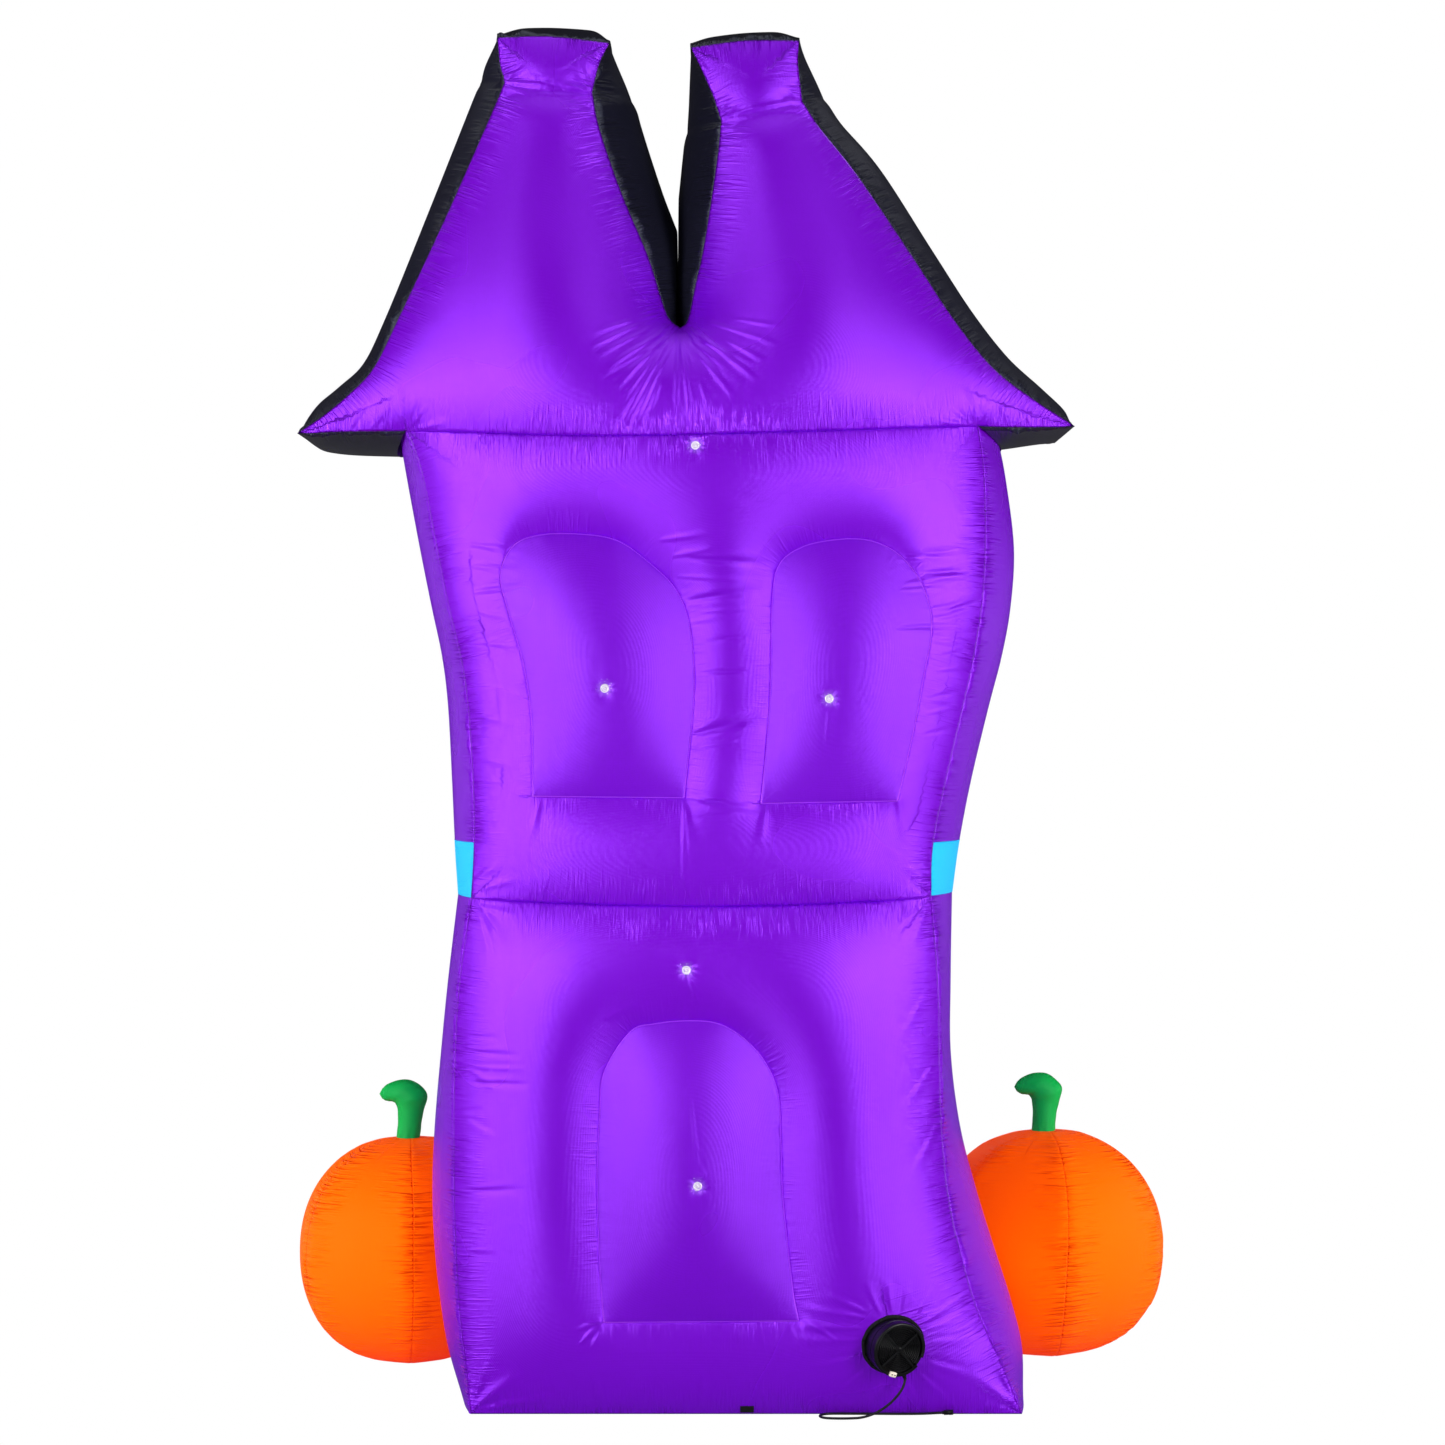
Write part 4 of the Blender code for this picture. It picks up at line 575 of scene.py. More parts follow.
DOOR = [(-0.28, 0.19), (-0.288, 0.306), (-0.293, 0.472), (-0.288, 0.598), (-0.279, 0.682),
        (-0.228, 0.761), (-0.178, 0.777), (-0.112, 0.783), (-0.054, 0.777), (-0.004, 0.748),
        (0.038, 0.701), (0.063, 0.639), (0.069, 0.539), (0.073, 0.431), (0.092, 0.257), (0.104, 0.193)]
GROUND = [(-0.544, 0.0), (0.545, 0.0)]
BAND_TOP = 1.13
LAMP_PLACES = {"roof_seam": (-0.099, 1.905), "window_left": (-0.276, 1.433),
               "window_right": (0.162, 1.413), "over_door": (-0.117, 0.883), "door": (-0.095, 0.464)}
print("roof runs", len(ROOF_RUNS), "lamps", len(LAMP_PLACES))

# %% [markdown]
# ## Skins under even pressure
# A stretched skin that is held along a closed line and pressed from behind stands out like a soap
# film: its height solves one linear equation, which a pillow of cloth follows closely. Cloth
# simulation could find it too, but the solve is quicker, exact along the seams, and the same each
# run. The net of triangles is fine along the seams and coarser in the middle of a panel. Cloth
# turns over quickly at its rim, so the pressure counts for more near the outline.

# %% Net of triangles
FAR_OFF = 9.0
SWELL_RATE = 3.6
EDGE_SWELL, EDGE_REACH = 0.9, 0.055
LINE_CLEARANCE = 0.62
FOLD_MARGIN = 0.008
FINE_REACH = 0.02
FINE_STEP = 0.0036
FRONT_STEP = 0.0075
MOST_TURNS, SETTLED = 6000, 2e-8


def closed_steps(line):
    """Lengths of a closed line's pieces."""
    return np.linalg.norm(np.roll(line, -1, axis=0) - line, axis=1)


def point_tree(points):
    tree = KDTree(len(points))
    for index, (x, z) in enumerate(points):
        tree.insert((x, z, 0.0), index)
    tree.balance()
    return tree


def nearest(tree, points):
    """For each point, the number of the nearest in the tree and how far off it is."""
    found = [tree.find((x, z, 0.0))[1:] for x, z in points]
    return np.array([index for index, _ in found], int), np.array([away for _, away in found])


def bell(distance, width):
    """One in the middle, fading to nothing past a width."""
    return np.exp(-(distance / width) ** 2)


def gaps_to(places, points):
    """For each point, how far off the nearest of a few places is."""
    return np.sqrt(((np.array(points)[:, None] - np.array(places)[None]) ** 2).sum(axis=2)).min(axis=1)


def inside(outline, points):
    """For each point, whether it lies in the closed outline."""
    x, z = points[:, 0], points[:, 1]
    found = np.zeros(len(points), bool)
    for (x0, z0), (x1, z1) in zip(outline, np.roll(outline, -1, axis=0)):
        rows = np.flatnonzero((z0 > z) != (z1 > z))
        found[rows] ^= x[rows] < x0 + (z[rows] - z0) * (x1 - x0) / (z1 - z0)
    return found


def graded_points(outline, lines, fine, folded):
    """Loose points on two triangular grids: fine by seams and folds, coarser away from them."""
    tree = point_tree(np.vstack(lines))
    fold_tree = point_tree(folded)
    low, high = outline.min(axis=0), outline.max(axis=0)
    kept = []
    for spacing, closest, farthest in ((fine, 0.0, FINE_REACH), (2.0 * fine, FINE_REACH, FAR_OFF)):
        across = np.arange(low[0], high[0], spacing)
        heights = np.arange(low[1], high[1], spacing * math.sqrt(0.75))
        grid = np.vstack([np.column_stack([across + 0.5 * spacing * (k % 2), np.full(len(across), z)])
                          for k, z in enumerate(heights)])
        off = nearest(tree, grid)[1]
        near = np.minimum(off, nearest(fold_tree, grid)[1] + FOLD_MARGIN)
        grid = grid[(off > LINE_CLEARANCE * fine) & (near > closest) & (near <= farthest)]
        kept.append(grid[inside(outline, grid)])
    return np.vstack(kept)


def triangulate(outline, closed_lines=(), open_lines=(), loose=()):
    """Triangles that fill the outline and have every line among their edges."""
    points = []
    edges = []
    lines = [(line, True) for line in (outline, *closed_lines)] + [(line, False) for line in open_lines]
    for line, closed in lines:
        start = len(points)
        points.extend(Vector(point) for point in line)
        edges.extend((start + k, start + k + 1) for k in range(len(line) - 1))
        if closed:
            edges.append((start + len(line) - 1, start))
    points.extend(Vector(point) for point in loose)
    found, _, faces, _, _, _ = delaunay_2d_cdt(points, edges, [], 1, 1e-6)
    flat = np.array([(point.x, point.y) for point in found])
    triangles = np.array([tuple(face) for face in faces if len(face) == 3])
    return flat, triangles[inside(outline, flat[triangles].mean(axis=1))]


def blown_heights(flat, triangles, held, rates):
    """Heights of a skin held at some points and pressed out at the given rates, by conjugate gradients."""
    corner = flat[triangles]
    opposite = corner[:, (2, 0, 1)] - corner[:, (1, 2, 0)]
    area = 0.5 * np.abs(opposite[:, 0, 0] * opposite[:, 1, 1] - opposite[:, 0, 1] * opposite[:, 1, 0])
    count = len(flat)
    load = rates * np.bincount(triangles.ravel(), np.repeat(area / 3.0, 3), count)
    pairs = [(0, 1), (1, 2), (2, 0)]
    one = np.concatenate([triangles[:, a] for a, _ in pairs])
    two = np.concatenate([triangles[:, b] for _, b in pairs])
    pull = np.concatenate([(opposite[:, a] * opposite[:, b]).sum(axis=1) / (4.0 * area) for a, b in pairs])
    own = np.concatenate([(opposite[:, k] ** 2).sum(axis=1) / (4.0 * area) for k in range(3)])
    diagonal = np.bincount(np.concatenate([triangles[:, k] for k in range(3)]), own, count)

    def push(values):
        return (diagonal * values + np.bincount(one, pull * values[two], count)
                + np.bincount(two, pull * values[one], count))

    heights = np.zeros(count)
    fixed = np.array(sorted(held))
    heights[fixed] = [held[index] for index in fixed]
    rest = load - push(heights)
    rest[fixed] = 0.0
    eased = rest / diagonal
    step = eased.copy()
    energy = rest @ eased
    for turn in range(MOST_TURNS):
        answer = push(step)
        answer[fixed] = 0.0
        size = energy / (step @ answer)
        heights += size * step
        rest -= size * answer
        eased = rest / diagonal
        fresh = rest @ eased
        if np.abs(eased).max() < SETTLED:
            break
        step = eased + fresh / energy * step
        energy = fresh
    return heights, turn


# %% Blow up a face of the house
Skin = namedtuple("Skin", "flat triangles heights off along")
ARCH_SEAM_OFFSET = 0.0012
ARCH_SWELL = 0.055
CREASE_DEPTH, CREASE_REACH = 0.01, 0.03
FOLD_DEPTH = SEAM_PLANE + 0.1


def seam_coordinates(line, points):
    """For each point, its distance from a closed line, and how far along the line it is."""
    closest = nearest(point_tree(line), points)[0]
    travelled = np.concatenate([[0.0], np.cumsum(closed_steps(line))])
    off = np.full(len(points), FAR_OFF)
    along = np.zeros(len(points))
    for first in ((closest - 1) % len(line), closest):
        start = line[first]
        span = line[(first + 1) % len(line)] - start
        share = np.clip(((points - start) * span).sum(axis=1) / (span * span).sum(axis=1), 0.0, 1.0)
        gap = np.linalg.norm(points - start - share[:, None] * span, axis=1)
        along = np.where(gap < off, travelled[first] + share * np.linalg.norm(span, axis=1), along)
        off = np.minimum(off, gap)
    return off, along


def fold_places(folds, side):
    """Places (x, z) along the folds, true enough to grade the net by."""
    places = [(FAR_OFF, FAR_OFF)]
    for x0, y0, x1, y1, _, _ in folds:
        ends = [np.array(seen_at(x, y, side * FOLD_DEPTH)) for x, y in ((x0, y0), (x1, y1))]
        places += [tuple(ends[0] + share * (ends[1] - ends[0])) for share in np.linspace(0.0, 1.0, 40)]
    return np.array(places)


def blow_up(outline, swells, arches, fine, side=-1, creases=(), cuts=(), marks=(), folds=()):
    """A whole face, held along its outline and its arched seams."""
    lines = [smooth_line(crease, fine) for crease in creases]
    open_lines = [line[1:-1] for line in lines]
    spots = [np.array([mark]) for mark in marks]
    loose = graded_points(outline, [outline, *arches, *open_lines, *cuts, *spots], fine,
                          fold_places(folds, side))
    flat, triangles = triangulate(outline, [*arches, *cuts], open_lines, loose)
    off = np.full(len(flat), FAR_OFF)
    along = np.zeros(len(flat))
    held = {}
    for number, line in enumerate([outline, *arches]):
        gap, way = seam_coordinates(line, flat)
        if number == 0:
            rates = SWELL_RATE * (1.0 + EDGE_SWELL * bell(gap, EDGE_REACH))
        drawn = gap + (ARCH_SEAM_OFFSET if number else 0.0)
        along = np.where(drawn < off, way + ARCH_WAY * number, along)
        off = np.minimum(off, drawn)
        rows = np.flatnonzero(gap < 1e-5)
        for row, at in zip(rows, nearest(point_tree(line), flat[rows])[0]):
            held[int(row)] = ARCH_SWELL if number else swells[at]
    heights, turns = blown_heights(flat, triangles, held, rates)
    for line in lines:
        near = gaps_to(line[::4], flat)
        heights -= np.minimum(CREASE_DEPTH * bell(near, CREASE_REACH), 0.5 * heights)
    heights = np.maximum(heights, 0.0)
    heights[list(held)] = list(held.values())
    print("skin", len(flat), "points,", turns, "turns, highest", round(float(heights.max()), 3))
    return Skin(flat, triangles, heights, off, along)


# %% [markdown]
# ### Folds and gathers
# A fold is a narrow crest with a shallow trough on each side, and it fades out at both ends. The
# folds are placed by where the picture shows them, as pixels, and the camera says where on the
# swollen skin each pixel falls. Gathers are the many short crests that start at a seam. Their
# places, lengths and slants come from a seeded dice, so each run gives the same cloth.

# %% Folds
TROUGH_DEPTH, TROUGH_PLACE = 0.42, 1.9
MILLIMETRE = 0.001


def on_skin(skin, side, across, down, tree):
    """The place (x, z) on a swollen skin that the camera sees at a pixel."""
    height = 0.12
    for _ in range(4):
        x, z = seen_at(across, down, side * (SEAM_PLANE + height))
        height = skin.heights[tree.find((x, z, 0.0))[1]]
    return np.array([x, z])


def fold_shape(distance, width):
    """Crest with a trough on each side."""
    return bell(distance, width) - TROUGH_DEPTH * bell(np.abs(distance) - TROUGH_PLACE * width, width)


def press_folds(skin, folds, side):
    """Work folds into a skin: each is (x0, y0, x1, y1, width mm, height mm) in pixels."""
    tree = point_tree(skin.flat)
    rise = np.zeros(len(skin.flat))
    for x0, y0, x1, y1, width, height in folds:
        start = on_skin(skin, side, x0, y0, tree)
        along = on_skin(skin, side, x1, y1, tree) - start
        length = np.hypot(*along)
        offset = skin.flat - start
        share = (offset @ along) / length ** 2
        aside = (offset[:, 0] * along[1] - offset[:, 1] * along[0]) / length
        held_share = np.clip(share, 0.0, 1.0)
        open_width = MILLIMETRE * width * (0.6 + 0.8 * held_share)
        taper = held_share ** 0.5 * np.clip(1.0 - share, 0.0, 1.0) ** 0.9 * 2.0
        rise += MILLIMETRE * height * taper * fold_shape(aside, open_width)
    fade = np.clip(skin.off / 0.006, 0.0, 1.0)
    return skin._replace(heights=skin.heights + rise * fade)


# %% Gathers
GATHER_LIMIT = 0.095
GATHER_START = 0.0016
ARCH_GATHERS = 0.4
TUCKS, TUCK_HEIGHT, DIMPLE_DEPTH = 7, 0.0017, 0.0035


def gathers(off, along, total, pitch, reach, height, seed, patches=6.0, least=0.15):
    """Heights of many short crests that run away from a seam."""
    dice = np.random.default_rng(seed)
    count = max(3, int(total / pitch))
    places = (np.arange(count) + dice.uniform(-0.38, 0.38, count)) * total / count
    phases = dice.uniform(0.0, math.tau, 3)
    rates = (patches, 2.3 * patches, 4.1 * patches)
    waves = sum(np.sin(places * rate + phase) for rate, phase in zip(rates, phases))
    strengths = height * np.clip(0.5 + 0.33 * waves, least, 1.2) * dice.uniform(0.4, 1.0, count)
    lengths = reach * np.clip(dice.lognormal(0.0, 0.5, count), 0.4, 2.6)
    leans = dice.normal(0.0, 0.22, count)
    widths = pitch * dice.uniform(0.26, 0.4, count)
    order = np.argsort(along)
    ranked = along[order]
    rise = np.zeros(len(off))
    for place, strength, length, lean, width in zip(places, strengths, lengths, leans, widths):
        window = 3.0 * pitch + 1.2 * abs(lean) * length
        low, high = np.searchsorted(ranked, (place - window, place + window))
        rows = order[low:high]
        rows = rows[off[rows] < 4.0 * length]
        away = off[rows]
        aside = along[rows] - place - lean * away
        open_width = width * (1.0 + 8.0 * away)
        fade = np.clip(1.0 - away / min(4.0 * length, GATHER_LIMIT), 0.0, 1.0) ** 2
        rise[rows] += (strength * fade * bell(aside, open_width) * np.exp(-away / length)
                       * (1.0 - np.exp(-away / GATHER_START)))
    return rise


def gather_seams(skin, lines, settings, seed):
    """Gathers along a skin's outline, weaker ones along its arches, and tucks round its lamps."""
    rise = np.zeros(len(skin.flat))
    for number, line in enumerate(lines):
        off, along = seam_coordinates(line, skin.flat)
        strength = ARCH_GATHERS if number else 1.0
        for layer, (pitch, reach, height) in enumerate(settings):
            rise += gathers(off, along, closed_steps(line).sum(), pitch, reach, strength * height,
                            seed + 10 * number + layer)
    for centre in LAMP_PLACES.values():
        away = skin.flat - np.array(centre)
        reach = np.hypot(away[:, 0], away[:, 1])
        turn = np.arctan2(away[:, 1], away[:, 0])
        star = np.cos(TUCKS * turn + 3.0 * np.sin(2.0 * turn) + centre[0] * 40.0)
        rise += TUCK_HEIGHT * star * bell(reach - 0.016, 0.011) * (reach > 0.006)
        rise -= DIMPLE_DEPTH * bell(reach, 0.013)
    fade = np.clip(skin.off / 0.002, 0.0, 1.0) * np.clip(skin.heights / 0.025, 0.0, 1.0)
    return skin._replace(heights=np.maximum(skin.heights + rise * fade, 0.0))


# %% [markdown]
# ### Smooth shading where the net is coarse
# A coarse net would show its triangles in the gloss. There each point gets the normal of a small
# curved patch, fitted to the points two edges round it. Where the net is fine, the mesh's own
# normals are true enough.

# %% Normals of the coarse parts
def patch_normals(skin, side, fine):
    """Outward normals from curved patches where the net is coarse, and nothing where it is fine."""
    one = np.concatenate([skin.triangles[:, k] for k in (0, 1, 2, 1, 2, 0)])
    two = np.concatenate([skin.triangles[:, k] for k in (1, 2, 0, 0, 1, 2)])
    count = len(skin.flat)
    lengths = np.linalg.norm(skin.flat[one] - skin.flat[two], axis=1)
    links = np.bincount(one, minlength=count)
    spacing = np.bincount(one, lengths, count) / np.maximum(links, 1)
    order = np.argsort(one, kind="stable")
    one, two = one[order], two[order]
    first = np.concatenate([[0], np.cumsum(links)])
    near_start, near_end = first[two], first[two + 1]
    repeats = near_end - near_start
    centre = np.repeat(one, repeats)
    steps = np.arange(len(centre)) - np.repeat(np.cumsum(repeats) - repeats, repeats)
    other = two[np.repeat(near_start, repeats) + steps]
    kept = (spacing[centre] > 1.12 * fine) & (skin.off[centre] > 2.5 * fine) & (other != centre)
    centre, other = centre[kept], other[kept]
    offset = (skin.flat[other] - skin.flat[centre]) / spacing[centre][:, None]
    rise = (skin.heights[other] - skin.heights[centre]) / spacing[centre]
    terms = np.column_stack([offset, offset[:, 0] ** 2, offset[:, 0] * offset[:, 1], offset[:, 1] ** 2])
    left = np.zeros((count, 5, 5))
    right = np.zeros((count, 5))
    for row in range(5):
        right[:, row] = np.bincount(centre, terms[:, row] * rise, count)
        for column in range(row, 5):
            both = np.bincount(centre, terms[:, row] * terms[:, column], count)
            left[:, row, column] = left[:, column, row] = both
    used = np.unique(centre)
    normals = np.zeros((count, 3))
    slopes = np.linalg.solve(left[used] + 1e-9 * np.eye(5), right[used][..., None])[:, :2, 0]
    normals[used] = np.column_stack([-slopes[:, 0], np.full(len(used), float(side)), -slopes[:, 1]])
    normals[used] /= np.linalg.norm(normals[used], axis=1)[:, None]
    return normals


# %% Close a skin into a panel
HALO_RADIUS = 0.022


def boundary_loops(triangles):
    """Closed chains of boundary points."""
    edges = np.vstack([triangles[:, (0, 1)], triangles[:, (1, 2)], triangles[:, (2, 0)]])
    keys = np.sort(edges, axis=1)
    _, first, counts = np.unique(keys, axis=0, return_index=True, return_counts=True)
    following = {int(a): int(b) for a, b in edges[first[counts == 1]]}
    loops = []
    while following:
        start, current = next(iter(following.items()))
        loop = [start]
        del following[start]
        while current != start:
            loop.append(current)
            current = following.pop(current)
        loops.append(loop)
    return loops


def skin_panel(name, skin, triangles, side, finish, node_name):
    """A panel: its swollen face, walls down to the seam plane and a flat back."""
    used = np.unique(triangles)
    lookup = np.zeros(len(skin.flat), int)
    lookup[used] = np.arange(len(used))
    points = [(x, side * (SEAM_PLANE + h), z) for (x, z), h in zip(skin.flat[used], skin.heights[used])]
    off = list(skin.off[used])
    along = list(skin.along[used])
    faces = [tuple(face) for face in lookup[triangles]]
    loops = boundary_loops(triangles)
    order = [index for loop in loops for index in loop]
    foot = {}
    for index in order:
        foot[index] = lookup[index]
        if skin.heights[index] >= 1e-6:
            foot[index] = len(points)
            points.append((skin.flat[index][0], side * SEAM_PLANE, skin.flat[index][1]))
            off.append(FAR_OFF)
            along.append(0.0)
    for loop in loops:
        for start, end in zip(loop, loop[1:] + loop[:1]):
            corners = tuple(dict.fromkeys([lookup[end], lookup[start], foot[start], foot[end]]))
            if len(corners) > 2:
                faces.append(corners)
    outlines = sorted((skin.flat[loop] for loop in loops), key=lambda line: -np.ptp(line, axis=0).sum())
    flat, back = triangulate(outlines[0], outlines[1:])
    match = [foot[order[at]] for at in nearest(point_tree(skin.flat[order]), flat)[0]]
    middles = flat[back].mean(axis=1)
    solid = np.ones(len(back), bool)
    for hole in outlines[1:]:
        solid &= ~inside(hole, middles)
    faces += [tuple(match[k] for k in face) for face in back[solid]]
    # lamp_near is the share of painted lamp light that the cloth round each lens takes.
    away = gaps_to(list(LAMP_PLACES.values()), [(x, z) for x, _, z in points])
    near = np.clip(1.0 - away / HALO_RADIUS, 0.0, 1.0) * (side < 0)
    normals = np.zeros((len(points), 3))
    normals[:len(used)] = patch_normals(skin, side, FINE_STEP if side < 0 else FRONT_STEP)[used]
    cloth_piece(name, points, faces, finish, [node_name],
                {"seam_off": off, "seam_along": along, "lamp_near": near}, normals=normals)


# %% Both faces of a storey
FACES = (("rear", -1, FINE_STEP), ("front", 1, FRONT_STEP))
FACE_GATHERS = [(0.0105, 0.014, 0.002), (0.034, 0.03, 0.0024), (0.105, 0.06, 0.0022)]
FRONT_GATHERS = [(0.024, 0.018, 0.0014), (0.06, 0.04, 0.002)]


def face_skin(edge, arches, side, fine, folds, seed, lamps=(), **lines):
    """A face with its gathers; the folds and the lamps are on the rear alone."""
    outline, swells = edge
    folds = folds if side < 0 else ()
    marks = [LAMP_PLACES[key] for key in lamps] if side < 0 else ()
    skin = blow_up(outline, swells, arches, fine, side, marks=marks, folds=folds, **lines)
    skin = press_folds(skin, folds, side)
    return gather_seams(skin, [outline, *arches], FACE_GATHERS if side < 0 else FRONT_GATHERS, seed)


# %% [markdown]
# ## Roof panels
# The roof is one flat cut with two crooked towers. They swell least at the necks, where level
# creases pull in, and the notch between them pinches the cloth so hard that folds fan out from its
# foot like rays. The eave tips pinch it too.

# %% Roof outline
ROOF_SWELL, STOREY_SWELL = 0.105, 0.055


def level_swell(x, line, peak):
    """A level seam stands out most at its middle and meets the side seams at nothing."""
    left, right = line[0][0], line[-1][0]
    across = (2 * x - left - right) / (right - left)
    return peak * max(0.0, 1.0 - across * across) ** 0.65


def roof_points(fine):
    """The roof's seam points in one clockwise round, each with its gusset swell."""
    points = [row for run in ROOF_RUNS for row in smooth_line(run, fine)[:-1]]
    return np.array(points + [np.array(RIGHT_EAVE[-1])])


def roof_face(fine):
    """Roof outline and the swell held along it."""
    edge = roof_points(fine)[:, :2]
    seam = smooth_line(ROOF_SEAM, fine)[::-1]
    swells = [0.0] * len(edge) + [level_swell(x, ROOF_SEAM, ROOF_SWELL) for x, _ in seam[1:-1]]
    return np.vstack([edge, seam[1:-1]]), swells


# %% Roof panels
ROOF_FOLDS = [
    (633, 320, 594, 332, 3.6, 2), (640, 324, 590, 347, 3.6, 2.3), (650, 329, 596, 356, 3.6, 2),
    (666, 331, 604, 370, 4, 2.5), (671, 333, 612, 392, 4, 2.3), (672, 337, 616, 436, 4.4, 2.3),
    (675, 340, 627, 438, 4.4, 2.5), (662, 366, 651, 414, 4, 1.6), (679, 330, 676, 420, 4, -2.3),
    (681, 340, 693, 434, 4.8, 2.3), (684, 346, 693, 366, 2.8, 1.2), (687, 331, 702, 352, 3.2, 1.9),
    (689, 329, 758, 381, 4, 2.7), (696, 352, 735, 398, 4, 2), (726, 340, 765, 361, 4, 1.7),
    (706, 322, 778, 344, 3.6, 2), (735, 319, 780, 326, 3.6, 1.4), (700, 380, 716, 430, 5.6, 1.2),
    (664, 345, 622, 400, 3.5, 1.6), (670, 350, 640, 424, 3.5, -1.8), (690, 342, 724, 372, 3.5, -1.8),
    (694, 338, 748, 362, 3.5, 1.6), (668, 342, 600, 382, 3.5, -1.8), (503, 84, 538, 91, 3.5, -2.6),
    (536, 91, 592, 93, 3.5, -2.2), (530, 76, 592, 91, 4, 2.4), (505, 82, 560, 86, 4, 2),
    (722, 118, 762, 110, 3.5, -2.4), (758, 111, 802, 104, 3.5, -2.2), (724, 116, 800, 100, 4, 2.2),
    (505, 81, 525, 67, 4.5, 2.2), (505, 79, 534, 62, 4.5, 1.6), (506, 84, 520, 55, 4, 1.4),
    (591, 93, 576, 70, 4.5, 2.2), (591, 92, 558, 84, 4.5, 2.2), (592, 90, 584, 60, 4, 1.6),
    (802, 103, 783, 84, 4.5, 2), (801, 102, 776, 98, 4.5, 1.8), (722, 120, 737, 104, 4.5, 2.4),
    (722, 119, 752, 112, 4.5, 2), (721, 117, 728, 94, 4, 1.6), (692, 52, 708, 74, 4, 1.6),
    (607, 46, 590, 60, 4, 1.6), (500, 42, 512, 54, 4, 1.4), (797, 44, 784, 58, 4, 1.4),
    (407, 429, 415, 394, 4.5, 2.4), (409, 429, 428, 402, 4.5, 2), (404, 428, 396, 402, 4.5, 2),
    (411, 431, 452, 420, 5, 2), (975, 425, 966, 392, 4.5, 2.4), (973, 426, 950, 404, 4.5, 2),
    (978, 425, 990, 402, 4.5, 2), (970, 427, 930, 418, 5, 2), (372, 427, 392, 402, 5, 1.6),
    (350, 428, 368, 400, 5, 1.4), (1008, 424, 1000, 398, 5, 1.6), (1030, 424, 1022, 404, 5, 1.4)]

for word, side, fine in FACES:
    skin = face_skin(roof_face(fine), [], side, fine, ROOF_FOLDS, 13 + 2 * side, creases=NECK_CREASES)
    skin_panel(f"roof_{word}", skin, skin.triangles, side, purple_cloth, f"roof_{word}_panel")
print("roof panels made")

# %% [markdown]
# ## Upper storey
# Two arched window panels are drawn in by their seams, so that each reads as a flat pillow in a
# swollen wall. Between and beside them the cloth buckles into level folds, because the arches
# shorten it. The windows are pieces of their own, a little deeper in colour.

# %% Storey outlines
ROW_STEP = 0.02


def body_at(rows, heights, side):
    """One side seam of the body and its gusset's swell, at some heights."""
    table = smooth_line(rows, ROW_STEP)
    return [np.interp(heights, table[:, 0], table[:, k]) for k in ((1, 3) if side < 0 else (2, 4))]


def levels(low, high, step):
    """Heights about one step apart."""
    return np.linspace(low, high, max(2, round((high - low) / step) + 1))


def arch_outline(points, fine):
    """Closed outline of an arched seam with a nearly straight foot."""
    arch = smooth_line(points, fine)
    foot = smooth_line([points[-1], points[0]], fine)
    return np.vstack([arch[:-1], foot[:-1]])


def storey_face(rows, low_ends, high_ends, top, foot, peaks, fine):
    """Outline of a storey and the swell held along it, clockwise from its lower left."""
    heights = [levels(low, high[1], fine) for low, high in zip(low_ends, high_ends)]
    left = np.column_stack([body_at(rows, heights[0], -1)[0], heights[0]])
    right = np.column_stack([body_at(rows, heights[1], 1)[0], heights[1]])[::-1]
    left[-1], right[0] = high_ends
    upper_edge = smooth_line(top, fine)
    lower_edge = smooth_line(foot, fine)[::-1]
    outline = np.vstack([left[:-1], upper_edge[:-1], right[:-1], lower_edge[:-1]])
    swells = ([0.0] * (len(left) - 1) + [level_swell(x, top, peaks[0]) for x, _ in upper_edge[:-1]]
              + [0.0] * (len(right) - 1) + [level_swell(x, foot, peaks[1]) for x, _ in lower_edge[:-1]])
    return outline, swells


def split_by(skin, arches):
    """A face's triangles sorted into the surround and each arched inset."""
    middles = skin.flat[skin.triangles].mean(axis=1)
    home = np.zeros(len(middles), int)
    for number, arch in enumerate(arches, start=1):
        home[inside(arch, middles)] = number
    return [skin.triangles[home == number] for number in range(len(arches) + 1)]


